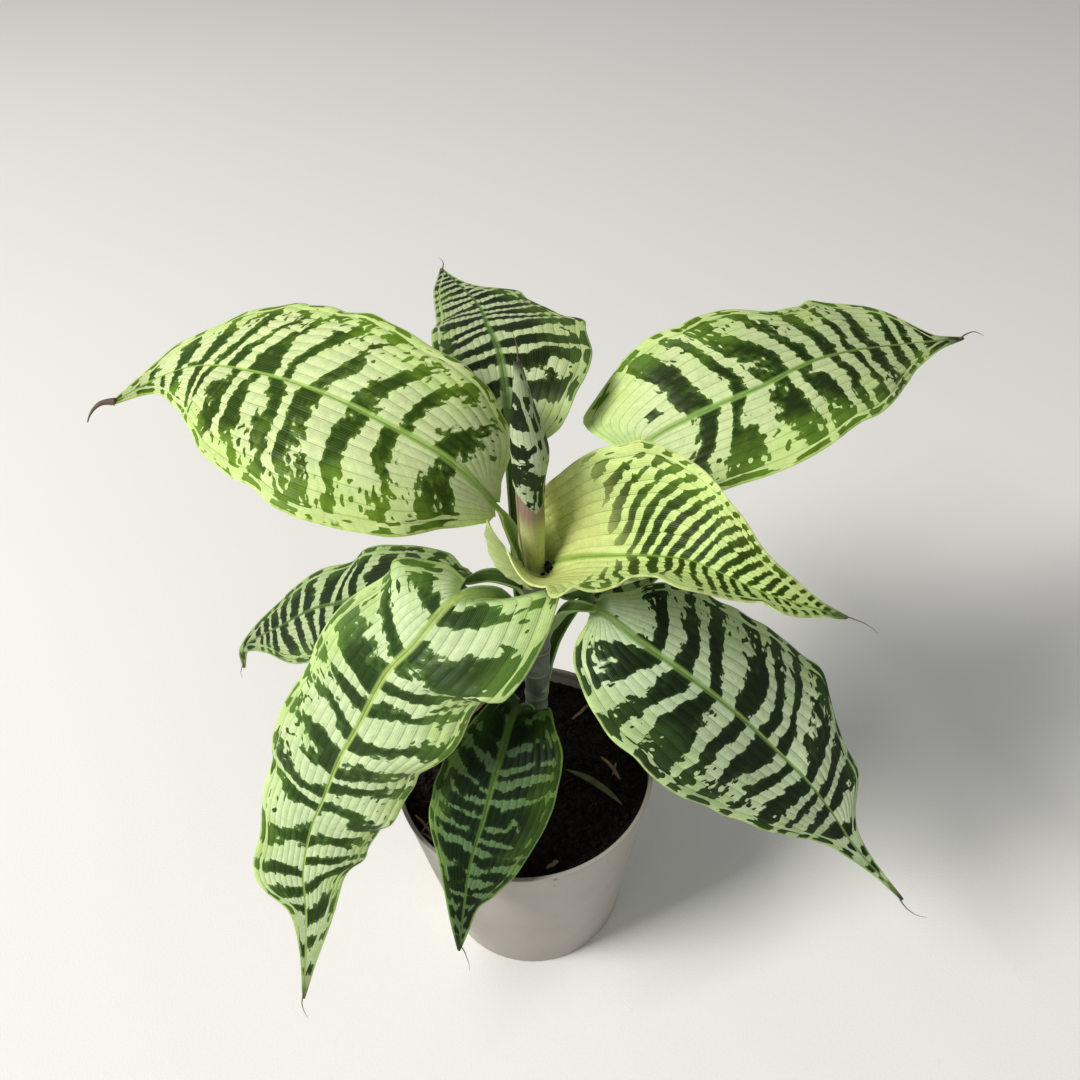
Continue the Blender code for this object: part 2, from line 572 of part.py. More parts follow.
# The spear's blade: the next young leaf, still rolled, drawn out to a fine point
spear_dark = make_material("spear_blade_banded", (0.10, 0.17, 0.07), 0.42)
roll_rows = []
for height, radius in BLADE_ROLL_RADII:
    row = []
    for k in range(BLADE_ROLL_STEPS + 1):
        share = k / BLADE_ROLL_STEPS
        angle = math.radians(BLADE_ROLL_START + BLADE_ROLL_TURN * share)
        coil = radius * (1 - BLADE_ROLL_TIGHTNESS * (1 - share))
        row.append(spear_centre(height) + coil * np.array([math.cos(angle), math.sin(angle), 0]))
    roll_rows.append(row)
roll_weights = np.repeat(np.array(SPEAR_BLADE_WEIGHTS)[:, None], BLADE_ROLL_STEPS + 1, axis=1)
add_sheet("spear_blade", np.array(roll_rows) * 1000, SPEAR_BLADE_THICKNESS, spear_dark, SPEAR_BLADE_THIN,
          roll_weights)
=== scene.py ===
import math

import bmesh
import bpy
import numpy as np
from mathutils import Matrix, Vector


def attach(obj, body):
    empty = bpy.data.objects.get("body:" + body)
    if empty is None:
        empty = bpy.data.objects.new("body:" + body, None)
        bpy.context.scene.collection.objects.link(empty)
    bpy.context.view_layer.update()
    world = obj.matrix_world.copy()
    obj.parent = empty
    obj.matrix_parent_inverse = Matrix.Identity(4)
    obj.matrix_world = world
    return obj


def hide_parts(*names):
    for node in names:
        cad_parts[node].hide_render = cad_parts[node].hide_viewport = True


# The potted dracaena's visual model: a young zebra-banded plant in a small nursery pot, on a pale
# floor. Metres, +Z up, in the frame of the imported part.
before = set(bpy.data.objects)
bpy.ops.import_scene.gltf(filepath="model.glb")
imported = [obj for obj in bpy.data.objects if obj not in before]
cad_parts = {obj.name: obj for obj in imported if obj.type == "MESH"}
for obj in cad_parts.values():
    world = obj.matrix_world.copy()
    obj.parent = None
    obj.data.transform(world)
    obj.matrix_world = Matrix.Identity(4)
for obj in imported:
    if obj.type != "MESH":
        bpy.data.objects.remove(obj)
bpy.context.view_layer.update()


# The pot: a thin tapered nursery pot, injection moulded in taupe-grey plastic, with a slightly
# thicker rim and drain holes in its floor. Peat dust and a few splashes cling to its wall.
POT_HEIGHT = 0.105
POT_TOP_RADIUS = 0.060
POT_FOOT_RADIUS = 0.045
POT_WALL = 0.0012
POT_FLOOR = 0.0018
POT_RIM_THICKNESS = 0.0022
POT_RIM_DEPTH = 0.0035
POT_EDGE = 0.0006
POT_STEPS = 180
DRAIN_HOLES = 6
DRAIN_HOLE_RADIUS = 0.0045
DRAIN_CIRCLE_RADIUS = 0.029


def put(tree, kind, inputs=None, **settings):
    """A node of a kind in a tree, with its settings, and its inputs set or linked."""
    made = tree.nodes.new(kind)
    for key, value in settings.items():
        setattr(made, key, value)
    for key, value in (inputs or {}).items():
        if isinstance(value, bpy.types.NodeSocket):
            tree.links.new(value, made.inputs[key])
        else:
            made.inputs[key].default_value = value
    return made


def calc(tree, operation, *values):
    """The result of a sum on sockets or numbers."""
    return put(tree, "ShaderNodeMath", dict(enumerate(values)), operation=operation).outputs[0]


def soft_step(tree, value, low, high, start=0.0, end=1.0):
    """A smooth change from start to end while the value goes from low to high."""
    inputs = {"Value": value, "From Min": low, "From Max": high, "To Min": start, "To Max": end}
    return put(tree, "ShaderNodeMapRange", inputs, interpolation_type="SMOOTHSTEP").outputs["Result"]


def mixed(tree, share, first, second):
    """The first colour with a share of the second."""
    inputs = {"Factor": share, "A": first, "B": second}
    made = put(tree, "ShaderNodeMix", {}, data_type="RGBA")
    for key, index in (("Factor", 0), ("A", 6), ("B", 7)):
        value = inputs[key]
        if isinstance(value, bpy.types.NodeSocket):
            tree.links.new(value, made.inputs[index])
        else:
            made.inputs[index].default_value = (*value, 1.0) if key != "Factor" else value
    return made.outputs[2]


def vector(tree, x=0.0, y=0.0, z=0.0):
    """A vector of three sockets or numbers."""
    return put(tree, "ShaderNodeCombineXYZ", {"X": x, "Y": y, "Z": z}).outputs[0]


def noise(tree, place, scale=1.0, detail=2.0, roughness=0.5):
    """Smooth noise from 0 to 1 at a place."""
    inputs = {"Vector": place, "Scale": scale, "Detail": detail, "Roughness": roughness}
    return put(tree, "ShaderNodeTexNoise", inputs).outputs["Fac"]


def new_group(name, inputs, outputs):
    """A shader node group with named inputs and outputs, and the sockets of its two ends."""
    group = bpy.data.node_groups.new(name, "ShaderNodeTree")
    for label, (kind, value) in inputs.items():
        socket = group.interface.new_socket(name=label, in_out="INPUT", socket_type=kind)
        if value is not None:
            socket.default_value = value
    for label, kind in outputs.items():
        group.interface.new_socket(name=label, in_out="OUTPUT", socket_type=kind)
    ends = (group.nodes.new("NodeGroupInput"), group.nodes.new("NodeGroupOutput"))
    return group, ends[0].outputs, ends[1].inputs


def use_group(tree, group, inputs):
    """A node group's outputs, placed in a material with its own values."""
    made = tree.nodes.new("ShaderNodeGroup")
    made.node_tree = group
    for key, value in inputs.items():
        if isinstance(value, bpy.types.NodeSocket):
            tree.links.new(value, made.inputs[key])
        else:
            made.inputs[key].default_value = value
    return made.outputs


def new_material(name, roughness=0.5, specular=0.5):
    """A material, its node tree and its shader."""
    material = bpy.data.materials.new(name)
    material.use_nodes = True
    shader = material.node_tree.nodes["Principled BSDF"]
    shader.inputs["Roughness"].default_value = roughness
    shader.inputs["Specular IOR Level"].default_value = specular
    return material, material.node_tree, shader


def object_place(tree):
    """The object's own coordinates, in metres."""
    return put(tree, "ShaderNodeTexCoord").outputs["Object"]


def bump(tree, height, depth, before=None):
    """A normal bent by a height from 0 to 1, of a depth in metres."""
    inputs = {"Height": height, "Distance": depth, "Strength": 1.0}
    if before is not None:
        inputs["Normal"] = before
    return put(tree, "ShaderNodeBump", inputs).outputs["Normal"]


def plain_mesh(thing, name):
    """The thing with its modifiers applied, as a plain mesh object at the origin."""
    bpy.context.view_layer.update()
    graph = bpy.context.evaluated_depsgraph_get()
    mesh = bpy.data.meshes.new_from_object(thing.evaluated_get(graph))
    mesh.transform(thing.matrix_world)
    mesh.name = name
    bpy.data.objects.remove(thing)
    made = bpy.data.objects.new(name, mesh)
    bpy.context.scene.collection.objects.link(made)
    return made


def mesh_object(name, points, faces, edges=()):
    """An object of points (metres) and faces."""
    mesh = bpy.data.meshes.new(name)
    mesh.from_pydata([tuple(map(float, p)) for p in points], list(edges), list(faces))
    made = bpy.data.objects.new(name, mesh)
    bpy.context.scene.collection.objects.link(made)
    return made


def finish_piece(piece, replaces=(), material=None):
    """Fix a finished piece to the plant's one body."""
    if material is not None:
        piece.data.materials.clear()
        piece.data.materials.append(material)
    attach(piece, "root")
    if replaces:
        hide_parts(*replaces)
    return piece


def turned(name, profile, steps):
    """A smooth body turned about the upright axis from a profile of (radius, height)."""
    body = mesh_object(name, [(r, 0.0, z) for r, z in profile], [], [(i, i + 1) for i in range(len(profile) - 1)])
    screw = body.modifiers.new("turn", "SCREW")
    screw.steps = steps
    screw.render_steps = steps
    screw.use_merge_vertices = True
    screw.merge_threshold = 0.00002
    return body


def rounded(corners, steps=5):
    """A profile of (radius, height) with each marked corner (radius, height, rounding) as an arc."""
    profile = []
    for i, corner in enumerate(corners):
        if len(corner) == 2 or i in (0, len(corners) - 1):
            profile.append(corner[:2])
            continue
        here = Vector(corner[:2])
        before = (Vector(corners[i - 1][:2]) - here).normalized() * corner[2]
        after = (Vector(corners[i + 1][:2]) - here).normalized() * corner[2]
        for k in range(steps + 1):
            t = k / steps
            point = here + before * (1 - t) ** 2 + after * t ** 2
            profile.append((point.x, point.y))
    return profile


def pot_radius(height):
    """The pot's outer radius at a height."""
    return POT_FOOT_RADIUS + (POT_TOP_RADIUS - POT_FOOT_RADIUS) * height / POT_HEIGHT


dust_group, dust_in, dust_out = new_group(
    "dust_specks",
    {"Place": ("NodeSocketVector", None), "Spacing": ("NodeSocketFloat", 0.012), "Size": ("NodeSocketFloat", 0.1),
     "Share": ("NodeSocketFloat", 0.4)},
    {"Specks": "NodeSocketFloat", "Film": "NodeSocketFloat"})
cell_scale = calc(dust_group, "DIVIDE", 1.0, dust_in["Spacing"])
bent_place = put(dust_group, "ShaderNodeVectorMath", {
    0: dust_in["Place"],
    1: put(dust_group, "ShaderNodeVectorMath", {
        0: put(dust_group, "ShaderNodeTexNoise", {"Vector": dust_in["Place"], "Scale": 900.0}).outputs["Color"],
        "Scale": 0.0016}, operation="SCALE").outputs[0]}, operation="ADD").outputs[0]
speck_cells = put(dust_group, "ShaderNodeTexVoronoi", {"Vector": bent_place, "Scale": cell_scale})
speck_pick = put(dust_group, "ShaderNodeSeparateColor", {"Color": speck_cells.outputs["Color"]})
speck_reach = calc(dust_group, "MULTIPLY", dust_in["Size"], calc(dust_group, "POWER", speck_pick.outputs[1], 2.0))
speck_near = calc(dust_group, "LESS_THAN", speck_cells.outputs["Distance"], speck_reach)
speck_some = calc(dust_group, "LESS_THAN", speck_pick.outputs[0], dust_in["Share"])
dust_group.links.new(calc(dust_group, "MULTIPLY", speck_near, speck_some), dust_out["Specks"])
film_noise = noise(dust_group, dust_in["Place"], 38.0, 4.0, 0.62)
dust_group.links.new(soft_step(dust_group, film_noise, 0.4, 0.75), dust_out["Film"])

pot_material, tree, shader = new_material("moulded_taupe_plastic", specular=0.4)
place = object_place(tree)
dust = use_group(tree, dust_group, {"Place": place, "Spacing": 0.011, "Size": 0.16, "Share": 0.22})
height = put(tree, "ShaderNodeSeparateXYZ", {"Vector": place}).outputs[2]
base_colour = mixed(tree, noise(tree, place, 22.0, 3.0), (0.345, 0.310, 0.270), (0.385, 0.350, 0.308))
dusty = mixed(tree, calc(tree, "MULTIPLY", dust["Film"], 0.35), base_colour, (0.44, 0.41, 0.37))
near_rim = soft_step(tree, height, 0.080, POT_HEIGHT, 0.0, 1.0)
smeared = calc(tree, "MULTIPLY", soft_step(tree, noise(tree, place, 130.0, 4.0, 0.7), 0.60, 0.72), near_rim)
soiled = mixed(tree, calc(tree, "MULTIPLY", smeared, 0.35), dusty, (0.09, 0.065, 0.05))
speckled = mixed(tree, calc(tree, "MULTIPLY", dust["Specks"], 0.85), soiled, (0.07, 0.05, 0.04))
tree.links.new(speckled, shader.inputs["Base Color"])
grain = noise(tree, place, 2600.0, 2.0)
tree.links.new(soft_step(tree, calc(tree, "ADD", dust["Film"], calc(tree, "MULTIPLY", grain, 0.3)), 0.0, 1.3, 0.36, 0.58),
               shader.inputs["Roughness"])
tree.links.new(bump(tree, dust["Specks"], 0.00025, bump(tree, grain, 0.00003)), shader.inputs["Normal"])

rim_low = POT_HEIGHT - POT_RIM_DEPTH
inner_top = pot_radius(POT_HEIGHT) - POT_RIM_THICKNESS
pot_profile = rounded([
    (0.0, POT_FLOOR),
    (pot_radius(POT_FLOOR) - POT_WALL, POT_FLOOR, 0.0008),
    (pot_radius(rim_low) - POT_WALL, rim_low, 0.0008),
    (inner_top, rim_low + 0.001, 0.0003),
    (inner_top, POT_HEIGHT, POT_EDGE),
    (pot_radius(POT_HEIGHT) - 0.0001, POT_HEIGHT, POT_EDGE),
    (pot_radius(rim_low) - 0.0001, rim_low, 0.0002),
    (pot_radius(rim_low) - 0.0004, rim_low - 0.0003, 0.0002),
    (POT_FOOT_RADIUS + 0.0002, 0.0, 0.0012),
    (POT_FOOT_RADIUS - 0.0035, 0.0, 0.0004),
    (POT_FOOT_RADIUS - 0.0040, 0.0004, 0.0002),
    (0.0, 0.0004)])
pot_turned = turned("pot_turned", pot_profile, POT_STEPS)
pot_piece = plain_mesh(pot_turned, "pot_shell")
cut_pot = pot_piece
for k in range(DRAIN_HOLES):
    angle = 2 * math.pi * (k + 0.5) / DRAIN_HOLES
    hole = bmesh.new()
    bmesh.ops.create_cone(hole, cap_ends=True, segments=32, radius1=DRAIN_HOLE_RADIUS, radius2=DRAIN_HOLE_RADIUS,
                          depth=0.012)
    bmesh.ops.translate(hole, verts=hole.verts, vec=(DRAIN_CIRCLE_RADIUS * math.cos(angle),
                                                     DRAIN_CIRCLE_RADIUS * math.sin(angle), 0.0))
    hole_mesh = bpy.data.meshes.new("drain_hole_cutter")
    hole.to_mesh(hole_mesh)
    hole.free()
    cutter = bpy.data.objects.new("drain_hole_cutter_%d" % k, hole_mesh)
    bpy.context.scene.collection.objects.link(cutter)
    cut = pot_piece.modifiers.new("drain", "BOOLEAN")
    cut.operation = "DIFFERENCE"
    cut.object = cutter
cutters = [m.object for m in pot_piece.modifiers]
pot_piece = plain_mesh(pot_piece, "pot_shell")
for cutter in cutters:
    bpy.data.objects.remove(cutter)
pot_piece.data.shade_smooth()
pot_piece.data.set_sharp_from_angle(angle=math.radians(40))
finish_piece(pot_piece, ("pot",), pot_material)


# The soil: moist dark peat, loose and crumbly on top, with pale root fibres, bark chips and a dry
# sliver of an old leaf lying on it. It is filled in by hand round the stem, a finger below the rim.
SOIL_LEVEL = 0.0965
SOIL_UNEVENNESS = 0.0016
SOIL_RINGS = 90
SOIL_STEPS = 260
CRUMB_SPACING = 0.0012
STEM_FOOT = (0.004, 0.0)


def smooth_noise(x, y, seed, waves=24):
    """Seeded unevenness of about -1 to 1 at places x, y given in its own wavelengths."""
    draw = np.random.default_rng(seed)
    total = np.zeros(np.shape(x))
    for _ in range(waves):
        angle, phase, pace = draw.uniform(0, 2 * math.pi), draw.uniform(0, 2 * math.pi), draw.uniform(0.6, 1.7)
        total = total + np.sin(2 * math.pi * pace * (x * math.cos(angle) + y * math.sin(angle)) + phase)
    return total / math.sqrt(waves)


def soil_height(x, y):
    """The soil's upper surface (metres) at a place."""
    low = smooth_noise(x / 0.035, y / 0.035, 3)
    fine = smooth_noise(x / 0.008, y / 0.008, 4)
    crumbly = smooth_noise(x / 0.0028, y / 0.0028, 5, 40)
    away = np.hypot(x - STEM_FOOT[0], y - STEM_FOOT[1])
    heap = 0.0012 * np.exp(-(away / 0.011) ** 2)
    return SOIL_LEVEL + SOIL_UNEVENNESS * (0.45 * low + 0.30 * fine + 0.22 * crumbly) + heap


soil_material, tree, shader = new_material("moist_peat", 0.9, 0.25)
place = object_place(tree)
crumb_cells = put(tree, "ShaderNodeTexVoronoi", {"Vector": place, "Scale": 620.0, "Randomness": 1.0})
clods = noise(tree, place, 210.0, 5.0, 0.65)
peat = mixed(tree, clods, (0.003, 0.0022, 0.0020), (0.018, 0.012, 0.010))
pale_bits = soft_step(tree, noise(tree, place, 900.0, 2.0), 0.66, 0.72)
peat = mixed(tree, calc(tree, "MULTIPLY", pale_bits, 0.30), peat, (0.075, 0.052, 0.038))
tree.links.new(peat, shader.inputs["Base Color"])
tree.links.new(soft_step(tree, clods, 0.3, 0.7, 0.72, 0.98), shader.inputs["Roughness"])
grit = bump(tree, noise(tree, place, 1500.0, 4.0, 0.7), 0.0005)
tree.links.new(bump(tree, crumb_cells.outputs["Distance"], 0.0006, grit), shader.inputs["Normal"])

soil_radius = pot_radius(SOIL_LEVEL) - POT_WALL - 0.0003
ring_share = np.linspace(0, 1, SOIL_RINGS + 1)[1:]
turn = np.linspace(0, 2 * math.pi, SOIL_STEPS, endpoint=False)
ring, around = np.meshgrid(ring_share, turn, indexing="ij")
soil_x = ring * soil_radius * np.cos(around)
soil_y = ring * soil_radius * np.sin(around)
soil_top = soil_height(soil_x, soil_y)
soil_points = [(0.0, 0.0, float(soil_height(np.array(0.0), np.array(0.0))))]
soil_points += list(zip(soil_x.ravel(), soil_y.ravel(), soil_top.ravel()))
for radius, height in ((soil_radius - 0.0005, SOIL_LEVEL - 0.004),
                       (pot_radius(POT_FLOOR + 0.0003) - POT_WALL - 0.0008, POT_FLOOR + 0.0003)):
    soil_points += [(radius * math.cos(a), radius * math.sin(a), height) for a in turn]
soil_points.append((0.0, 0.0, POT_FLOOR + 0.0003))
soil_faces = []
for k in range(SOIL_STEPS):
    after = (k + 1) % SOIL_STEPS
    soil_faces.append((0, 1 + k, 1 + after))
    for row in range(SOIL_RINGS + 1):
        a, b = 1 + row * SOIL_STEPS + k, 1 + row * SOIL_STEPS + after
        soil_faces.append((a, a + SOIL_STEPS, b + SOIL_STEPS, b))
    last = 1 + (SOIL_RINGS + 1) * SOIL_STEPS
    soil_faces.append((last + after, last + k, len(soil_points) - 1))
soil_piece = mesh_object("soil_bed", soil_points, soil_faces)
soil_piece.data.shade_smooth()
finish_piece(soil_piece, ("soil",), soil_material)


def scatter(name, ground, chip, material, values, seed):
    """Copies of a chip strewn over a ground by a node tree, as one plain mesh. The values are the
    number per square metre, the least and the largest size, and how far they lie over on a side."""
    tree = bpy.data.node_groups.new(name + "_strewn", "GeometryNodeTree")
    tree.interface.new_socket(name="Ground", in_out="INPUT", socket_type="NodeSocketGeometry")
    sockets = {}
    for label in ("Number", "Smallest", "Largest", "Tumble"):
        sockets[label] = tree.interface.new_socket(name=label, in_out="INPUT", socket_type="NodeSocketFloat")
    sockets["Chip"] = tree.interface.new_socket(name="Chip", in_out="INPUT", socket_type="NodeSocketObject")
    sockets["Finish"] = tree.interface.new_socket(name="Finish", in_out="INPUT", socket_type="NodeSocketMaterial")
    tree.interface.new_socket(name="Strewn", in_out="OUTPUT", socket_type="NodeSocketGeometry")
    given = tree.nodes.new("NodeGroupInput").outputs
    spread = put(tree, "GeometryNodeDistributePointsOnFaces", {"Mesh": given["Ground"], "Density": given["Number"],
                                                               "Seed": seed})
    turned_by = put(tree, "FunctionNodeRandomValue", {"Seed": seed + 1}, data_type="FLOAT_VECTOR")
    turned_by.inputs[0].default_value = (-1.0, -1.0, -math.pi)
    turned_by.inputs[1].default_value = (1.0, 1.0, math.pi)
    tumble = put(tree, "ShaderNodeCombineXYZ", {"X": given["Tumble"], "Y": given["Tumble"], "Z": 1.0})
    lay = put(tree, "ShaderNodeVectorMath", {0: turned_by.outputs[0], 1: tumble.outputs[0]}, operation="MULTIPLY")
    size = put(tree, "FunctionNodeRandomValue", {"Seed": seed + 2}, data_type="FLOAT")
    tree.links.new(given["Smallest"], size.inputs[2])
    tree.links.new(given["Largest"], size.inputs[3])
    shape = put(tree, "GeometryNodeObjectInfo", {"Object": given["Chip"]})
    copies = put(tree, "GeometryNodeInstanceOnPoints", {
        "Points": spread.outputs["Points"], "Instance": shape.outputs["Geometry"], "Rotation": lay.outputs[0],
        "Scale": size.outputs[1]})
    real = put(tree, "GeometryNodeRealizeInstances", {"Geometry": copies.outputs[0]})
    coloured = put(tree, "GeometryNodeSetMaterial", {"Geometry": real.outputs[0], "Material": given["Finish"]})
    end = tree.nodes.new("NodeGroupOutput")
    tree.links.new(coloured.outputs[0], end.inputs[0])
    carrier = bpy.data.objects.new(name, ground.data.copy())
    bpy.context.scene.collection.objects.link(carrier)
    strewn = carrier.modifiers.new("strewn", "NODES")
    strewn.node_group = tree
    for label, value in zip(("Number", "Smallest", "Largest", "Tumble"), values):
        strewn[sockets[label].identifier] = float(value)
    strewn[sockets["Chip"].identifier] = chip
    strewn[sockets["Finish"].identifier] = material
    return plain_mesh(carrier, name)


def lump(name, detail, roughness, seed, squash=0.7):
    """A small irregular crumb about one unit across."""
    body = bmesh.new()
    bmesh.ops.create_icosphere(body, subdivisions=detail, radius=0.5)
    draw = np.random.default_rng(seed)
    for corner in body.verts:
        corner.co *= 1.0 + draw.uniform(-roughness, roughness)
        corner.co.z *= squash
    mesh = bpy.data.meshes.new(name)
    body.to_mesh(mesh)
    body.free()
    mesh.shade_smooth()
    made = bpy.data.objects.new(name, mesh)
    bpy.context.scene.collection.objects.link(made)
    return made


def ribbon(name, path, widths, thickness, rounds=6):
    """A closed strip along a path of points, with a width at each point; round where it is as thick
    as it is wide."""
    path = np.array(path, float)
    ahead = np.gradient(path, axis=0)
    ahead /= np.linalg.norm(ahead, axis=1, keepdims=True)
    side = np.cross(ahead, (0.0, 0.0, 1.0))
    side /= np.maximum(np.linalg.norm(side, axis=1, keepdims=True), 1e-9)
    up = np.cross(side, ahead)
    points = []
    for i, centre in enumerate(path):
        for k in range(rounds):
            angle = 2 * math.pi * k / rounds
            points.append(centre + side[i] * math.cos(angle) * widths[i] / 2
                          + up[i] * math.sin(angle) * min(thickness, widths[i]) / 2)
    faces = []
    for i in range(len(path) - 1):
        for k in range(rounds):
            a, b = i * rounds + k, i * rounds + (k + 1) % rounds
            faces.append((a, a + rounds, b + rounds, b))
    faces.append(tuple(range(rounds)))
    faces.append(tuple(reversed(range((len(path) - 1) * rounds, len(path) * rounds))))
    made = mesh_object(name, points, faces)
    fixed = bmesh.new()
    fixed.from_mesh(made.data)
    bmesh.ops.recalc_face_normals(fixed, faces=fixed.faces)
    fixed.to_mesh(made.data)
    fixed.free()
    made.data.shade_smooth()
    return made


def bent_line(start, end, steps, sag=(0.0, 0.0, 0.0), wander=0.0, seed=0):
    """Points from start to end, bowed by a sag and wandering a little."""
    t = np.linspace(0, 1, steps)[:, None]
    line = np.array(start) * (1 - t) + np.array(end) * t + np.array(sag) * 4 * t * (1 - t)
    draw = np.random.default_rng(seed)
    sway = sum(np.sin(2 * math.pi * (k + 1) * t + draw.uniform(0, 6)) * draw.uniform(-1, 1, 3) / (k + 1)
               for k in range(3))
    return line + wander * sway * np.sin(math.pi * t)


def joined(name, things):
    """Several plain mesh objects as one."""
    body = bmesh.new()
    for thing in things:
        body.from_mesh(thing.data)
        bpy.data.objects.remove(thing)
    mesh = bpy.data.meshes.new(name)
    body.to_mesh(mesh)
    body.free()
    made = bpy.data.objects.new(name, mesh)
    bpy.context.scene.collection.objects.link(made)
    return made


top_count = 1 + SOIL_STEPS * (SOIL_RINGS - 3)
soil_ground = mesh_object("soil_ground", soil_points[:top_count],
                          [f for f in soil_faces if max(f) < top_count])
crumb_material, tree, shader = new_material("peat_crumbs", 0.92, 0.2)
place = object_place(tree)
crumb_colour = mixed(tree, noise(tree, place, 260.0, 2.0), (0.003, 0.0022, 0.0020), (0.028, 0.018, 0.014))
tree.links.new(crumb_colour, shader.inputs["Base Color"])
tree.links.new(bump(tree, noise(tree, place, 2200.0, 3.0, 0.7), 0.0003), shader.inputs["Normal"])
fibre_material, tree, shader = new_material("dry_root_fibre", 0.8, 0.2)
place = object_place(tree)
fibre_colour = mixed(tree, noise(tree, place, 130.0, 2.0), (0.020, 0.012, 0.008), (0.13, 0.080, 0.048))
tree.links.new(fibre_colour, shader.inputs["Base Color"])

small_crumb = lump("small_crumb", 1, 0.28, 11)
large_crumb = lump("large_crumb", 2, 0.22, 12)
crumb_pieces = [
    scatter("fine_crumbs", soil_ground, small_crumb, crumb_material, (420000, 0.0006, 0.0018, 3.1), 21),
    scatter("coarse_crumbs", soil_ground, large_crumb, crumb_material, (42000, 0.0016, 0.0052, 3.1), 31)]
fibre_shape = ribbon("fibre_shape", bent_line((-0.5, 0, 0.01), (0.5, 0, 0.02), 9, (0, 0.16, 0.05), 0.05, 5),
                     [0.03] * 8 + [0.012], 0.03, 3)
curl_shape = ribbon("curl_shape", bent_line((-0.5, 0, 0.0), (0.4, 0.1, 0.03), 9, (0, -0.24, 0.09), 0.09, 8),
                    [0.05] * 8 + [0.02], 0.05, 3)
fibre_pieces = [
    scatter("straight_fibres", soil_ground, fibre_shape, fibre_material, (11000, 0.004, 0.012, 0.25), 41),
    scatter("curled_fibres", soil_ground, curl_shape, fibre_material, (4500, 0.002, 0.007, 0.5), 51)]
for helper in (soil_ground, small_crumb, large_crumb, fibre_shape, curl_shape):
    bpy.data.objects.remove(helper)
soil_crumbs = joined("soil_crumbs", crumb_pieces)
finish_piece(soil_crumbs, (), crumb_material)
soil_fibres = joined("soil_fibres", fibre_pieces)
finish_piece(soil_fibres, (), fibre_material)

dry_material, tree, shader = new_material("dry_leaf_sliver", 0.6, 0.3)
place = object_place(tree)
dry_colour = mixed(tree, soft_step(tree, noise(tree, place, 90.0, 3.0), 0.35, 0.65), (0.055, 0.075, 0.022), (0.16, 0.17, 0.065))
tree.links.new(dry_colour, shader.inputs["Base Color"])
sliver_line = bent_line((0.0187, 0.0002, 0.0985), (0.0437, -0.0209, 0.0990), 24, (0.0012, 0.0010, 0.0016))
sliver_width = [0.0004 + 0.0032 * math.sin(math.pi * min(t * 1.02, 1.0)) ** 0.8 for t in np.linspace(0, 1, 24)]
dry_sliver = ribbon("dry_leaf_sliver", sliver_line, sliver_width, 0.0005, 8)
finish_piece(dry_sliver, (), dry_material)

wood_material, tree, shader = new_material("bark_chip", 0.8, 0.2)
place = object_place(tree)
wood_colour = mixed(tree, noise(tree, place, 210.0, 3.0), (0.17, 0.10, 0.055), (0.42, 0.29, 0.18))
tree.links.new(wood_colour, shader.inputs["Base Color"])
tree.links.new(bump(tree, noise(tree, place, 900.0, 2.0), 0.0002), shader.inputs["Normal"])
CHIPS = (((0.0362, 0.0066), (0.0440, -0.0070), 0.0020, 0.0012), ((0.0432, 0.0040), (0.0408, -0.0046), 0.0010, 0.0016),
         ((-0.0510, -0.0200), (-0.0420, -0.0330), 0.0016, 0.0010), ((-0.0480, -0.0290), (-0.0370, -0.0400), 0.0014, 0.0012),
         ((0.0080, -0.0500), (0.0132, -0.0478), 0.0022, 0.0014), ((-0.0440, -0.0230), (-0.0475, -0.0300), 0.0012, 0.0008),
         ((0.0240, 0.0300), (0.0330, 0.0380), 0.0018, 0.0010), ((-0.0260, 0.0360), (-0.0180, 0.0440), 0.0016, 0.0010))
chip_pieces = []
for k, (start, end, width, lift) in enumerate(CHIPS):
    line = bent_line((*start, SOIL_LEVEL + 0.0008 + lift * 0.4), (*end, SOIL_LEVEL + 0.0010 + lift), 10,
                     (0.0005, 0.0004, 0.0006), 0.0003, 60 + k)
    chip_pieces.append(ribbon("chip_%d" % k, line, [width * (0.55 + 0.45 * math.sin(math.pi * t)) for t in
                                                    np.linspace(0.08, 0.92, 10)], 0.0007, 5))
bark_chips = joined("bark_chips", chip_pieces)
finish_piece(bark_chips, (), wood_material)


# The stem: one upright grey-green shoot, a finger's breadth round, ringed where each leaf's sheath
# was or is attached, with thin pale scars. It is rooted in the peat and grew as one piece.
STEM_GIRTH = ((0.050, 0.0034), (0.098, 0.0036), (0.125, 0.0040), (0.150, 0.0048), (0.175, 0.0053), (0.200, 0.0056),
              (0.218, 0.0056), (0.226, 0.0048), (0.229, 0.0036))
STEM_TOP = 0.229
STEM_HOLE_DEPTH = 0.042
STEM_AXIS = ((0.004, 0.0, 0.050), (0.004, 0.0, 0.100), (0.008, 0.0, 0.160), (0.009, 0.0, 0.185),
             (0.0105, 0.0, 0.235))
STEM_RINGS = (0.112, 0.127, 0.149, 0.157, 0.172, 0.186, 0.196, 0.205, 0.213)
STEM_STEPS = 420
STEM_SIDES = 48


def stem_centre(height):
    """The stem's centre (metres) at a height."""
    axis = np.array(STEM_AXIS)
    return np.array([np.interp(height, axis[:, 2], axis[:, 0]), np.interp(height, axis[:, 2], axis[:, 1]), height])


def closed_tube(name, rings):
    """A closed body through rings of points."""
    rings = np.array(rings)
    rows, sides = rings.shape[:2]
    points = list(rings.reshape(-1, 3)) + [rings[0].mean(0), rings[-1].mean(0)]
    faces = []
    for i in range(rows - 1):
        for k in range(sides):
            a, b = i * sides + k, i * sides + (k + 1) % sides
            faces.append((a, b, b + sides, a + sides))
    for k in range(sides):
        after = (k + 1) % sides
        faces.append((after, k, rows * sides))
        faces.append(((rows - 1) * sides + k, (rows - 1) * sides + after, rows * sides + 1))
    made = mesh_object(name, points, faces)
    made.data.shade_smooth()
    return made


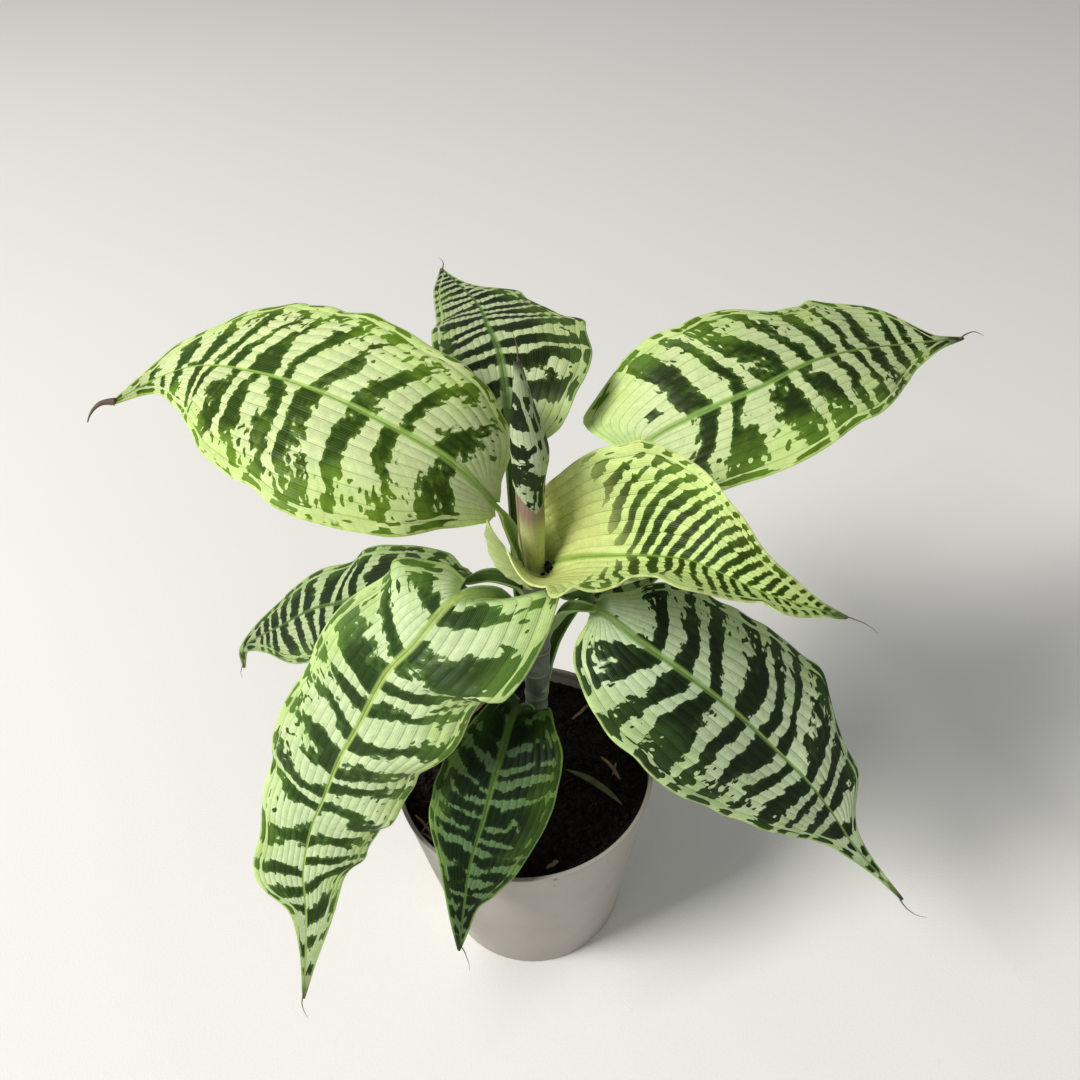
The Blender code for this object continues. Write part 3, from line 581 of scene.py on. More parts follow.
stem_rings = []
stem_foot = SOIL_LEVEL - STEM_HOLE_DEPTH + 0.0003
for height in np.linspace(stem_foot, STEM_TOP, STEM_STEPS):
    swell = sum(0.07 * math.exp(-((height - h) / 0.0011) ** 2) - 0.03 * math.exp(-((height - h - 0.0022) / 0.0012) ** 2)
                for h in STEM_RINGS)
    angles = np.linspace(0, 2 * math.pi, STEM_SIDES, endpoint=False)
    girth = float(np.interp(height, *zip(*STEM_GIRTH)))
    radius = girth * (1 + swell + 0.012 * np.sin(3 * angles + height * 190))
    ring = stem_centre(height) + np.stack([radius * np.cos(angles), radius * np.sin(angles), 0 * angles], -1)
    stem_rings.append(ring)
stem_piece = closed_tube("stem_shoot", stem_rings)
stem_material, tree, shader = new_material("grey_green_stem", 0.45, 0.4)
place = object_place(tree)
height = put(tree, "ShaderNodeSeparateXYZ", {"Vector": place}).outputs[2]
long_place = put(tree, "ShaderNodeVectorMath", {0: place, 1: (900.0, 900.0, 60.0)}, operation="MULTIPLY").outputs[0]
streak = noise(tree, long_place, 1.0, 3.0)
# Painted shade: the stem's grey-green is set darker than its own colour, to stand for the shade the leaves cast on it.
stem_colour = mixed(tree, streak, (0.050, 0.066, 0.038), (0.105, 0.128, 0.082))
bloom = soft_step(tree, noise(tree, place, 160.0, 3.0), 0.45, 0.70)
stem_colour = mixed(tree, calc(tree, "MULTIPLY", bloom, 0.45), stem_colour, (0.21, 0.23, 0.19))
ring_mask = 0.0
for ring_height in STEM_RINGS:
    away = calc(tree, "ABSOLUTE", calc(tree, "SUBTRACT", height, ring_height))
    ring_mask = calc(tree, "MAXIMUM", ring_mask, soft_step(tree, away, 0.00025, 0.0009, 1.0, 0.0))
stem_colour = mixed(tree, calc(tree, "MULTIPLY", ring_mask, 0.32), stem_colour, (0.36, 0.37, 0.30))
soil_splash = calc(tree, "MULTIPLY", soft_step(tree, height, SOIL_LEVEL, SOIL_LEVEL + 0.012, 1.0, 0.0),
                   soft_step(tree, noise(tree, place, 700.0, 3.0), 0.40, 0.55))
stem_colour = mixed(tree, soil_splash, stem_colour, (0.035, 0.024, 0.018))
tree.links.new(stem_colour, shader.inputs["Base Color"])
tree.links.new(soft_step(tree, bloom, 0.0, 1.0, 0.38, 0.62), shader.inputs["Roughness"])
tree.links.new(bump(tree, streak, 0.00012), shader.inputs["Normal"])
finish_piece(stem_piece, ("stem",), stem_material)


# The leaves: nine blades shared out round the stem, each one soft fleshy sheet that clasps the stem
# with its sheath, narrows to a channelled petiole and opens to a broad pleated blade with a long
# drip tip. All of them are laid out and coloured by what follows here; their own values come after.
SHEATH_RADIUS = 4.2
SHEATH_FLARE = 1.0
SHEATH_CLASP = 150
SHEATH_MOUTH = 60
SHEATH_OPENING = 0.4
LEAN_OUT = 3.0
LEAN_UP = 3.5
PETIOLE_HALF_WIDTH = 4.2
PETIOLE_CURL = 100
PETIOLE_NARROW = 0.13
PETIOLE_INNER = 0.36
BLADE_THICKNESS = 0.0007
MIDRIB_THICKNESS = 0.0018
TIP_HALF_WIDTH = 0.5
RIB_SWEEP = (50, 25, 18, 0)
LOBE_ROUNDING = 0.35
LOBE_REACH = 0.02
RUFFLE_WIDENING = 0.4
PLEATS = 9
PLEAT_DEPTH = 0.105
WIDTH_PLACES = (0.0, 0.04, 0.12, 0.25, 0.40, 0.55, 0.70, 0.82, 0.92, 1.0)
SHAPE_PLACES = (0.0, 0.3, 0.65, 1.0)
SWEEP_PLACES = (0.0, 0.15, 0.5, 1.0)
SHEATH_ROWS = 10
PETIOLE_ROWS = 28
BLADE_ROWS = 130
INNER_COLUMNS = 16
OUTER_COLUMNS = 29


def half(widths, fold=(8, 8, 8, 5), curl=(-30, -30, -25, -10), sweep=RIB_SWEEP, teeth=(), scallop=(1, 0)):
    """One half of a blade: half widths (mm) at WIDTH_PLACES, fold at the midrib and bend toward the
    margin (degrees), backward lean of its ribs (degrees), teeth as (place, length, height mm), and
    the length and height (mm) of the margin's scallops."""
    return {"widths": widths, "fold": fold, "curl": curl, "sweep": sweep, "teeth": teeth, "scallop": scallop}


def unit(vectors):
    """Vectors of length one."""
    return vectors / np.maximum(np.linalg.norm(vectors, axis=-1, keepdims=True), 1e-12)


def smooth_value(at, places, values):
    """A smooth run through values at places that never overshoots them."""
    places = np.array(places, float)
    values = np.array(values, float)
    spans = np.diff(places)
    slopes = np.diff(values) / spans
    lean = np.zeros(len(places))
    lean[0] = slopes[0]
    lean[-1] = slopes[-1]
    for i in range(1, len(places) - 1):
        if slopes[i - 1] * slopes[i] > 0:
            lean[i] = 2 * slopes[i - 1] * slopes[i] / (slopes[i - 1] + slopes[i])
    at = np.clip(at, places[0], places[-1])
    k = np.clip(np.searchsorted(places, at, side="right") - 1, 0, len(spans) - 1)
    u = (at - places[k]) / spans[k]
    start = (1 + 2 * u) * (1 - u) ** 2 * values[k] + u * (1 - u) ** 2 * spans[k] * lean[k]
    end = u * u * (3 - 2 * u) * values[k + 1] + u * u * (u - 1) * spans[k] * lean[k + 1]
    return start + end


def along_blade(at, values, places):
    """Values at the usual places of a blade, or at places of their own given with them."""
    if isinstance(values[0], tuple):
        places, values = values
    return smooth_value(at, places, values)


def smooth_line(points, steps=24):
    """A smooth line through points, its running length and the length at each point."""
    knots = np.array(points, float)
    knots = np.vstack([2 * knots[0] - knots[1], knots, 2 * knots[-1] - knots[-2]])
    line = []
    marks = []
    for i in range(1, len(knots) - 2):
        q = knots[i - 1:i + 3]
        gaps = np.linalg.norm(np.diff(q, axis=0), axis=1) ** 0.5
        k = np.concatenate([[0], np.cumsum(gaps)])
        marks.append(len(line))
        for t in np.linspace(k[1], k[2], steps, endpoint=False):
            a = [((k[n + 1] - t) * q[n] + (t - k[n]) * q[n + 1]) / (k[n + 1] - k[n]) for n in range(3)]
            b = [((k[n + 2] - t) * a[n] + (t - k[n]) * a[n + 1]) / (k[n + 2] - k[n]) for n in range(2)]
            line.append(((k[2] - t) * b[0] + (t - k[1]) * b[1]) / (k[2] - k[1]))
    marks.append(len(line))
    line.append(knots[-2])
    line = np.array(line)
    run = np.concatenate([[0], np.cumsum(np.linalg.norm(np.diff(line, axis=0), axis=1))])
    return line, run, run[marks]


def on_line(line, run, lengths):
    """Points of a line at running lengths."""
    return np.stack([np.interp(lengths, run, line[:, i]) for i in range(3)], -1)


def leaf_sheet(leaf):
    """The grid of points (mm) in the middle of a leaf's thickness, from the sheath's foot to the tip
    and from the left margin to the right, with the place (mm) and share of each point."""
    turn = math.radians(leaf["azimuth"])
    outward = np.array([math.cos(turn), math.sin(turn), 0.0])
    radius = leaf.get("sheath_radius", SHEATH_RADIUS)
    clasp = math.radians(leaf.get("clasp", SHEATH_CLASP))
    open_all = leaf.get("open_all_along", False)
    low, high = leaf["sheath"]
    points = []
    for share in (0.0, 0.5, 1.0):
        height = low + (high - low) * share
        points.append(stem_centre(height / 1000) * [1000, 1000, 1000] + outward * (radius + SHEATH_FLARE * share))
    lean = [] if open_all else [points[-1] + outward * LEAN_OUT + (0, 0, LEAN_UP)]
    points += lean + leaf["petiole"] + leaf["midrib"]
    line, run, marks = smooth_line(points)
    base = marks[3 + len(lean) + len(leaf["petiole"])]
    total = run[-1]
    sheath_end = marks[2]
    lengths = np.concatenate([np.linspace(0, sheath_end, SHEATH_ROWS, endpoint=False),
                              np.linspace(sheath_end, base, PETIOLE_ROWS, endpoint=False),
                              np.linspace(base, total, BLADE_ROWS)])
    centre = on_line(line, run, lengths)
    step = 0.004 * total
    forward = unit(on_line(line, run, np.minimum(lengths + step, total)) - on_line(line, run, np.maximum(lengths - step, 0)))
    place = np.clip((lengths - base) / (total - base), 0, 1)
    face_places = [leaf.get("face_at_base", leaf["face"]), leaf["face"], leaf["face"], leaf["face"]]
    face = np.stack([smooth_value(place, SHAPE_PLACES, [f[i] for f in face_places]) for i in range(3)], -1)
    blend = np.clip((lengths - sheath_end * 0.8) / (base - sheath_end * 0.8), 0, 1)[:, None]
    blend = blend * blend * (3 - 2 * blend)
    face = -outward * (1 - blend) + unit(face) * blend
    up = unit(face - forward * np.sum(face * forward, axis=1)[:, None])
    side = np.cross(forward, up)
    inner = 1.0 if open_all else PETIOLE_INNER
    reaches = np.concatenate([np.linspace(0, PETIOLE_INNER, INNER_COLUMNS + 1),
                              np.linspace(PETIOLE_INNER, 1, OUTER_COLUMNS + 1)[1:]])
    columns = len(reaches)
    sheet = np.full((len(lengths), 2 * columns - 1, 3), np.nan)
    places = np.zeros_like(sheet)
    shares = np.zeros_like(sheet)
    fine = np.linspace(0, 1, 97)
    seed = leaf["seed"]
    for sign, name in ((-1, "left"), (1, "right")):
        shape = leaf[name]
        width = smooth_value(place, WIDTH_PLACES, shape["widths"] + (TIP_HALF_WIDTH,))
        for tooth_place, tooth_length, tooth_height in shape["teeth"]:
            width = width + tooth_height * np.exp(-((place - tooth_place) / tooth_length) ** 2)
        scallop_length, scallop_height = shape["scallop"]
        if not open_all:
            width = width * (1 - LOBE_ROUNDING * np.exp(-(place / LOBE_REACH) ** 2))
        middle = np.sin(math.pi * place) ** 0.5
        ruffle = scallop_height * middle * (np.abs(np.sin(math.pi * (lengths - base) / scallop_length)) - 0.6)
        width = width + ruffle * RUFFLE_WIDENING
        width = width * (1 + 0.012 * smooth_noise(lengths / 21, 0.37 * sign + 0 * lengths, seed) * middle)
        fold = np.radians(along_blade(place, shape["fold"], SHAPE_PLACES))
        curl = np.radians(along_blade(place, shape["curl"], SHAPE_PLACES))
        sweep = np.radians(along_blade(place, shape["sweep"], SWEEP_PLACES))
        for i, length in enumerate(lengths):
            row_width, row_fold, row_curl, row_sweep = width[i], fold[i], curl[i], sweep[i]
            reach = reaches
            pleat = 1.0
            if length < base:
                x = min(max((length - sheath_end) / (base - sheath_end), 0), 1)
                away = np.linalg.norm((centre[i] - stem_centre(centre[i][2] / 1000) * 1000)[:2])
                pleat = x ** 3
                if open_all:
                    ease = x ** 1.8
                    row_width = away * clasp * (1 - ease) + width[i] * ease
                    row_curl = clasp * (1 - ease) + curl[i] * ease
                    row_fold = fold[i] * ease
                else:
                    opening = (0, sheath_end * SHEATH_OPENING, sheath_end)
                    hold = np.interp(length, opening, (clasp, clasp, math.radians(SHEATH_MOUTH)))
                    narrow = min(x / PETIOLE_NARROW, 1)
                    row_width = away * hold * (1 - narrow) + PETIOLE_HALF_WIDTH * narrow
                    row_width = np.interp(x, (0.5, 1), (row_width, width[i] * inner))
                    row_curl = hold * (1 - narrow) + math.radians(PETIOLE_CURL) * narrow
                    row_curl = row_curl * (1 - x ** 3) + curl[i] * inner * x ** 3
                    row_width, row_curl = row_width / inner, row_curl / inner
                    row_fold = fold[i] * x ** 2
                    reach = reaches[:INNER_COLUMNS + 1]
                row_sweep = sweep[i] * min(max((x - 0.6) / 0.4, 0), 1)
            angle = row_fold + row_curl * fine
            gaps = np.diff(fine)
            flat = np.concatenate([[0], np.cumsum((np.cos(angle[1:]) + np.cos(angle[:-1])) / 2 * gaps)])
            rise = np.concatenate([[0], np.cumsum((np.sin(angle[1:]) + np.sin(angle[:-1])) / 2 * gaps)])
            across = np.interp(reach, fine, flat) * row_width
            lift = np.interp(reach, fine, rise) * row_width
            back = math.tan(row_sweep) * row_width * reach ** 1.4
            tilt = row_fold + row_curl * reach
            normal = up[i] * np.cos(tilt)[:, None] - sign * side[i] * np.sin(tilt)[:, None]
            strip = row_width / PLEATS
            pleats = np.abs(np.sin(math.pi * PLEATS * reach)) ** 0.6 * strip * PLEAT_DEPTH * pleat
            pleats = pleats * np.clip(row_width / 12, 0, 1)
            sway = smooth_noise(length / 30 + 0 * reach, sign * reach * row_width / 22, seed + 5) * 0.45 * reach * pleat
            hang = ruffle[i] * reach ** 3 * pleat
            shift = (pleats + sway * np.clip(row_width / 20, 0, 1) - hang)[:, None] * normal
            row = centre[i] + sign * side[i] * across[:, None] + up[i] * lift[:, None] - forward[i] * back[:, None] + shift
            index = columns - 1 + sign * np.arange(len(reach))
            sheet[i, index] = row
            edge = (reach[-1] - reach) * row_width
            places[i, index] = np.stack([sign * reach * row_width, 0 * reach + length - base, edge], -1)
            shares[i, index] = np.stack([reach, 0 * reach + place[i], 0 * reach + sign], -1)
    weights = np.clip(1 - np.abs(np.concatenate([-reaches[:0:-1], reaches])) / 0.2, 0, 1)[None, :]
    weights = weights * (1 - place)[:, None]
    return sheet, places, shares, weights


def solid_sheet(name, sheet, places, shares, weights, thickness, thin, materials):
    """A closed thin body through a grid of points (mm), with its upper and its lower material."""
    rows, columns = sheet.shape[:2]
    present = ~np.isnan(sheet[..., 0])
    number = -np.ones((rows, columns), int)
    number[present] = np.arange(present.sum())
    corners = np.stack([number[:-1, :-1], number[:-1, 1:], number[1:, 1:], number[1:, :-1]], -1).reshape(-1, 4)
    corners = corners[(corners >= 0).all(1)]
    body = mesh_object(name + "_sheet", sheet[present] / 1000, corners.tolist())
    for label, values in (("leaf_place", places), ("leaf_share", shares)):
        layer = body.data.attributes.new(label, "FLOAT_VECTOR", "POINT")
        layer.data.foreach_set("vector", values[present].astype(np.float32).ravel())
    for material in materials:
        body.data.materials.append(material)
    body.data.shade_smooth()
    group = body.vertex_groups.new(name="thick")
    for index, weight in enumerate(weights[present]):
        group.add([index], float(weight), "REPLACE")
    solid = body.modifiers.new("thickness", "SOLIDIFY")
    solid.thickness = thickness
    solid.offset = 0
    solid.material_offset = 1
    solid.vertex_group = "thick"
    solid.thickness_vertex_group = thin
    made = plain_mesh(body, name)
    made.data.set_sharp_from_angle(angle=math.radians(60))
    return made


def parts_of(tree, vectors):
    """The three numbers of a vector."""
    return put(tree, "ShaderNodeSeparateXYZ", {"Vector": vectors}).outputs


def away_from_half(tree, value):
    """How far a value is from the nearest whole number."""
    part = calc(tree, "FRACT", calc(tree, "ADD", value, 0.5))
    return calc(tree, "ABSOLUTE", calc(tree, "SUBTRACT", part, 0.5))


def spread(tree, value, factor):
    """A noise from 0 to 1 as a swing about 0."""
    return calc(tree, "MULTIPLY", calc(tree, "SUBTRACT", value, 0.5), factor)


# The dark crossbands: waves along the blade, set off at random on each side of the midrib, with
# edges that step from vein to vein, and specks near the margin.
number_input = "NodeSocketFloat"
zebra, given, result = new_group(
    "zebra_bands",
    {"Place": ("NodeSocketVector", None), "Share": ("NodeSocketVector", None), "Seed": (number_input, 0.0),
     "Period": (number_input, 11.0), "Dark": (number_input, 0.5), "Ragged": (number_input, 1.0),
     "Merge": (number_input, 1.0), "Bare": (number_input, 12.0), "Speckle": (number_input, 1.0),
     "Lean": (number_input, 0.0)},
    {"Band": number_input, "Depth": number_input})
across, along, edge = parts_of(zebra, given["Place"])
leaned = calc(zebra, "SUBTRACT", along, calc(zebra, "MULTIPLY", calc(zebra, "ABSOLUTE", across), given["Lean"]))
reach, place, side = parts_of(zebra, given["Share"])
deep = calc(zebra, "ADD", calc(zebra, "MULTIPLY", side, 3.7), given["Seed"])
strip = calc(zebra, "FLOOR", calc(zebra, "MULTIPLY", reach, PLEATS * 3.0))
pleat = calc(zebra, "FLOOR", calc(zebra, "MULTIPLY", reach, float(PLEATS)))
sway_place = vector(zebra, 0.0, calc(zebra, "MULTIPLY", along, 0.055), deep)
sway = spread(zebra, noise(zebra, sway_place, 1.0, 1.0), calc(zebra, "MULTIPLY", given["Period"], 0.95))
drift_place = vector(zebra, calc(zebra, "MULTIPLY", across, 0.034), calc(zebra, "MULTIPLY", along, 0.045),
                     calc(zebra, "ADD", deep, 5.0))
drift = spread(zebra, noise(zebra, drift_place, 1.0, 1.0), calc(zebra, "MULTIPLY", given["Period"], 1.15))
step_place = vector(zebra, calc(zebra, "MULTIPLY", pleat, 2.3), calc(zebra, "MULTIPLY", along, 0.06),
                    calc(zebra, "ADD", deep, 15.0))
step = spread(zebra, noise(zebra, step_place), calc(zebra, "MULTIPLY", given["Ragged"], 4.5))
rag_place = vector(zebra, calc(zebra, "MULTIPLY", strip, 3.1), calc(zebra, "MULTIPLY", along, 0.2),
                   calc(zebra, "ADD", deep, 9.0))
rag = spread(zebra, noise(zebra, rag_place), calc(zebra, "MULTIPLY", given["Ragged"], 2.6))
shifted = calc(zebra, "ADD", calc(zebra, "ADD", leaned, calc(zebra, "ADD", sway, drift)), calc(zebra, "ADD", step, rag))
pace = calc(zebra, "DIVIDE", calc(zebra, "ADD", 1.0, calc(zebra, "MULTIPLY", place, 0.75)), given["Period"])
turns = calc(zebra, "MULTIPLY", shifted, pace)
wave = calc(zebra, "MULTIPLY", calc(zebra, "SINE", calc(zebra, "MULTIPLY", turns, 2 * math.pi)), 0.5)
blotch_place = vector(zebra, calc(zebra, "MULTIPLY", across, 0.07), calc(zebra, "MULTIPLY", along, 0.10),
                      calc(zebra, "ADD", deep, 21.0))
outer_part = soft_step(zebra, reach, 0.45, 0.95)
blotch = spread(zebra, noise(zebra, blotch_place, 1.0, 2.0),
                calc(zebra, "MULTIPLY", given["Merge"], calc(zebra, "ADD", 1.5, outer_part)))
fleck_place = vector(zebra, calc(zebra, "MULTIPLY", across, 0.34), calc(zebra, "MULTIPLY", along, 0.50),
                     calc(zebra, "ADD", deep, 33.0))
dash_place = vector(zebra, calc(zebra, "MULTIPLY", edge, 0.50), calc(zebra, "MULTIPLY", along, 0.13),
                    calc(zebra, "ADD", deep, 41.0))
near_edge = soft_step(zebra, edge, 2.5, 9.0, 1.0, 0.0)
dots = put(zebra, "ShaderNodeMix", {0: near_edge, 2: noise(zebra, fleck_place, 1.0, 0.0),
                                    3: noise(zebra, dash_place, 1.0, 1.0)}).outputs[0]
dark_dots = soft_step(zebra, dots, 0.58, 0.70)
pale_dots = soft_step(zebra, dots, 0.30, 0.42, 1.0, 0.0)
fleck = calc(zebra, "MULTIPLY", calc(zebra, "SUBTRACT", dark_dots, calc(zebra, "MULTIPLY", pale_dots, 0.7)),
             calc(zebra, "MULTIPLY", given["Speckle"], calc(zebra, "ADD", 0.16, outer_part)))
grain_place = vector(zebra, calc(zebra, "MULTIPLY", across, 0.30), calc(zebra, "MULTIPLY", along, 0.22),
                     calc(zebra, "ADD", deep, 51.0))
grain = spread(zebra, noise(zebra, grain_place, 1.0, 2.0), calc(zebra, "MULTIPLY", given["Merge"], 0.75))
line_mask = soft_step(zebra, calc(zebra, "ABSOLUTE", calc(zebra, "SUBTRACT", edge, 3.3)), 0.2, 0.9, 0.75, 0.0)
fleck = calc(zebra, "ADD", calc(zebra, "SUBTRACT", fleck, line_mask), grain)
bare_line = calc(zebra, "ADD", given["Bare"], spread(zebra, noise(zebra, step_place, 0.7), 24.0))
bare = soft_step(zebra, along, calc(zebra, "SUBTRACT", bare_line, 6.0), calc(zebra, "ADD", bare_line, 4.0), 1.6, 0.0)
limit = calc(zebra, "ADD", calc(zebra, "SUBTRACT", 0.5, given["Dark"]), bare)
level = calc(zebra, "SUBTRACT", calc(zebra, "ADD", calc(zebra, "ADD", wave, blotch), fleck), limit)
zebra.links.new(soft_step(zebra, level, -0.045, 0.045), result["Band"])
zebra.links.new(soft_step(zebra, level, 0.0, 0.42), result["Depth"])

# The leaf's skin: the ground and the bands change colour from the midrib to the margin, with a dark line
# of painted shade in the furrow between the pleats, fine veins, a green midrib, and a bright thin margin.
colour_input = "NodeSocketColor"
skin, given, result = new_group(
    "leaf_skin",
    {"Place": ("NodeSocketVector", None), "Share": ("NodeSocketVector", None), "Band": (number_input, 0.0),
     "Depth": (number_input, 0.0), "Ground": (colour_input, None), "Outer Ground": (colour_input, None),
     "Core": (colour_input, None), "Rim": (colour_input, None), "Outer Band": (colour_input, None),
     "Midrib": (colour_input, None), "Margin": (colour_input, None), "Tip": (colour_input, None),
     "Tip Start": (number_input, 0.9), "Plain": (colour_input, None), "Plain Length": (number_input, 6.0)},
    {"Colour": colour_input, "Height": number_input, "Gloss": number_input})
across, along, edge = parts_of(skin, given["Place"])
reach, place, side = parts_of(skin, given["Share"])
skin_place = vector(skin, across, along, side)


def blend(tree, share, first, second):
    """The first colour socket with a share of the second."""
    made = put(tree, "ShaderNodeMix", {}, data_type="RGBA")
    tree.links.new(first, made.inputs[6])
    tree.links.new(second, made.inputs[7])
    if isinstance(share, bpy.types.NodeSocket):
        tree.links.new(share, made.inputs[0])
    else:
        made.inputs[0].default_value = share
    return made.outputs[2]


soft_patch = noise(skin, skin_place, 0.06, 3.0)
yellowing = soft_step(skin, calc(skin, "ADD", reach, spread(skin, soft_patch, 1.6)), 0.42, 1.0)
ground = blend(skin, yellowing, given["Ground"], given["Outer Ground"])
band_colour = blend(skin, given["Depth"], given["Rim"], given["Core"])
band_colour = blend(skin, calc(skin, "MULTIPLY", yellowing, 0.85), band_colour, given["Outer Band"])
colour = blend(skin, given["Band"], ground, band_colour)
plain_share = soft_step(skin, along, calc(skin, "MULTIPLY", given["Plain Length"], 0.25), given["Plain Length"], 1.0, 0.0)
colour = blend(skin, plain_share, colour, given["Plain"])
# Painted shade: the furrow between two pleats is darkened toward the band's core colour, as if shade fell in the
# crease.
furrow = soft_step(skin, away_from_half(skin, calc(skin, "MULTIPLY", reach, float(PLEATS))), 0.012, 0.075, 1.0, 0.0)
vein_wave = calc(skin, "SINE", calc(skin, "MULTIPLY", reach, PLEATS * 6 * 2 * math.pi))
vein_line = soft_step(skin, vein_wave, 0.2, 1.0)
long_noise = noise(skin, vector(skin, calc(skin, "MULTIPLY", across, 2.1), calc(skin, "MULTIPLY", along, 0.09), side), 1.0, 2.0)
pale_furrow = blend(skin, 0.5, given["Ground"], given["Rim"])
colour = blend(skin, calc(skin, "MULTIPLY", calc(skin, "MULTIPLY", vein_line, long_noise), 0.20), colour, pale_furrow)
furrow_shade_share = calc(skin, "MULTIPLY", furrow, soft_step(skin, plain_share, 0.0, 1.0, 0.27, 0.10))
colour = blend(skin, furrow_shade_share, colour, given["Core"])
rib_width = soft_step(skin, place, 0.0, 0.95, 1.9, 0.5)
off_rib = calc(skin, "DIVIDE", calc(skin, "ABSOLUTE", across), rib_width)
rib_share = calc(skin, "MULTIPLY", soft_step(skin, off_rib, 0.55, 1.25, 1.0, 0.0), 0.85)
colour = blend(skin, rib_share, colour, given["Midrib"])
rim_noise = calc(skin, "MULTIPLY", noise(skin, skin_place, 0.35, 2.0), 0.9)
rim_share = soft_step(skin, calc(skin, "SUBTRACT", edge, rim_noise), 0.0, 0.5, 1.0, 0.0)
colour = blend(skin, calc(skin, "MULTIPLY", rim_share, 0.7), colour, given["Margin"])
tip_share = soft_step(skin, calc(skin, "ADD", place, spread(skin, soft_patch, 0.10)), given["Tip Start"], 1.0)
colour = blend(skin, calc(skin, "MULTIPLY", tip_share, 0.9), colour, given["Tip"])
tone = noise(skin, skin_place, 0.5, 4.0, 0.6)
wide_tone = noise(skin, skin_place, 0.045, 2.0)
bright = put(skin, "ShaderNodeHueSaturation", {
    "Color": colour, "Value": calc(skin, "ADD", soft_step(skin, tone, 0.2, 0.8, 0.88, 1.12), spread(skin, wide_tone, 0.35)),
    "Hue": calc(skin, "ADD", 0.5, spread(skin, soft_patch, 0.03))})
skin.links.new(bright.outputs[0], result["Colour"])
height = calc(skin, "ADD", calc(skin, "MULTIPLY", vein_wave, 0.16), calc(skin, "MULTIPLY", long_noise, 0.5))
skin.links.new(calc(skin, "SUBTRACT", height, calc(skin, "MULTIPLY", furrow, 0.6)), result["Height"])
skin.links.new(soft_step(skin, soft_patch, 0.3, 0.7, 0.36, 0.50), result["Gloss"])


def tint(red, green, blue):
    """A linear colour from one as a screen shows it (0 to 255)."""
    shown = [c / 255 for c in (red, green, blue)]
    return tuple(c / 12.92 if c <= 0.04045 else ((c + 0.055) / 1.055) ** 2.4 for c in shown)


def leaf_materials(name, bands, colours, tip_start=0.93, plain_length=6.0):
    """The materials of a leaf's upper side and of its paler underside."""
    made = []
    for upper in (True, False):
        material, tree, shader = new_material(name + ("_upper" if upper else "_under"), specular=0.14 if upper else 0.06)
        spot = put(tree, "ShaderNodeAttribute", attribute_name="leaf_place").outputs["Vector"]
        share = put(tree, "ShaderNodeAttribute", attribute_name="leaf_share").outputs["Vector"]
        found = use_group(tree, zebra, {"Place": spot, "Share": share, **bands})
        values = {"Place": spot, "Share": share, "Band": found["Band"], "Depth": found["Depth"],
                  "Tip Start": tip_start, "Plain Length": plain_length}
        values.update({key: (*tint(*colour), 1.0) for key, colour in colours.items()})
        surface = use_group(tree, skin, values)
        colour = surface["Colour"]
        if not upper:
            grey = put(tree, "ShaderNodeRGB")
            grey.outputs[0].default_value = (*tint(150, 172, 118), 1.0)
            colour = blend(tree, 0.5, colour, grey.outputs[0])
        tree.links.new(colour, shader.inputs["Base Color"])
        tree.links.new(calc(tree, "ADD", surface["Gloss"], 0.0 if upper else 0.15), shader.inputs["Roughness"])
        tree.links.new(bump(tree, surface["Height"], 0.00016), shader.inputs["Normal"])
        made.append(material)
    return made


def grow_leaf(name, leaf, slot, bands, colours, **look):
    """A leaf in place of its plain solid; gives back its tip and the way the tip points (metres)."""
    materials = leaf_materials(name, bands, colours, **look)
    sheet, places, shares, weights = leaf_sheet(leaf)
    piece = solid_sheet(name + "_blade", sheet, places, shares, weights, MIDRIB_THICKNESS,
                        BLADE_THICKNESS / MIDRIB_THICKNESS, materials)
    finish_piece(piece, (name,))
    middle = sheet[:, sheet.shape[1] // 2] / 1000
    return middle[-1], unit(middle[-1] - middle[-6])


# The lowest leaf in front: an older, smaller blade that hangs over the soil, mostly dark green with
# thin broken silver bars and yellow-green patches near its margins.
tip_lower_front = grow_leaf("leaf_lower_front", {
    "azimuth": -130, "sheath": (134, 142), "petiole": [(3, -7, 154)],
    "midrib": [(0, -11, 160), (-3, -16, 160), (-8, -29, 153), (-13, -39, 142), (-17, -47, 132),
               (-23, -58, 119), (-30, -81, 90)],
    "face": (-0.1, -0.7, 0.7), "seed": 1,
    "left": half((7, 12, 18, 25, 27, 24, 19, 6, 3), teeth=((0.78, 0.03, 2),)),
    "right": half((5, 9, 13, 19, 24, 24, 13, 8, 4))}, "leaf_dark",
    {"Seed": 3.1, "Period": 12.0, "Dark": 0.84, "Ragged": 1.1, "Merge": 1.9, "Bare": -8.0, "Speckle": 0.7},
    {"Ground": (88, 114, 74), "Outer Ground": (100, 130, 60), "Core": (10, 28, 2), "Rim": (32, 56, 16),
     "Outer Band": (54, 80, 22), "Midrib": (84, 112, 50), "Margin": (138, 168, 92), "Tip": (40, 56, 24),
     "Plain": (60, 84, 44)})


# The lowest leaf behind: an older blade turned away to the back right, dark with silver bars.
tip_lower_back = grow_leaf("leaf_lower_back", {
    "azimuth": 45, "sheath": (156, 165), "petiole": [(19, 12, 180)],
    "midrib": [(30, 25, 188), (55, 56, 191), (78, 86, 182), (92, 108, 165)],
    "face": (0, -0.1, 1), "seed": 2,
    "left": half((6, 10, 16, 20, 21, 18, 12, 6, 2)),
    "right": half((6, 10, 16, 20, 21, 18, 12, 6, 2))}, "leaf_dark",
    {"Seed": 5.7, "Period": 14.0, "Dark": 0.62, "Ragged": 1.0, "Merge": 0.9, "Bare": 4.0, "Speckle": 0.7},
    {"Ground": (150, 172, 122), "Outer Ground": (150, 176, 108), "Core": (18, 36, 6), "Rim": (48, 72, 26),
     "Outer Band": (68, 94, 36), "Midrib": (92, 122, 62), "Margin": (170, 198, 120), "Tip": (50, 66, 30),
     "Plain": (96, 120, 70)})


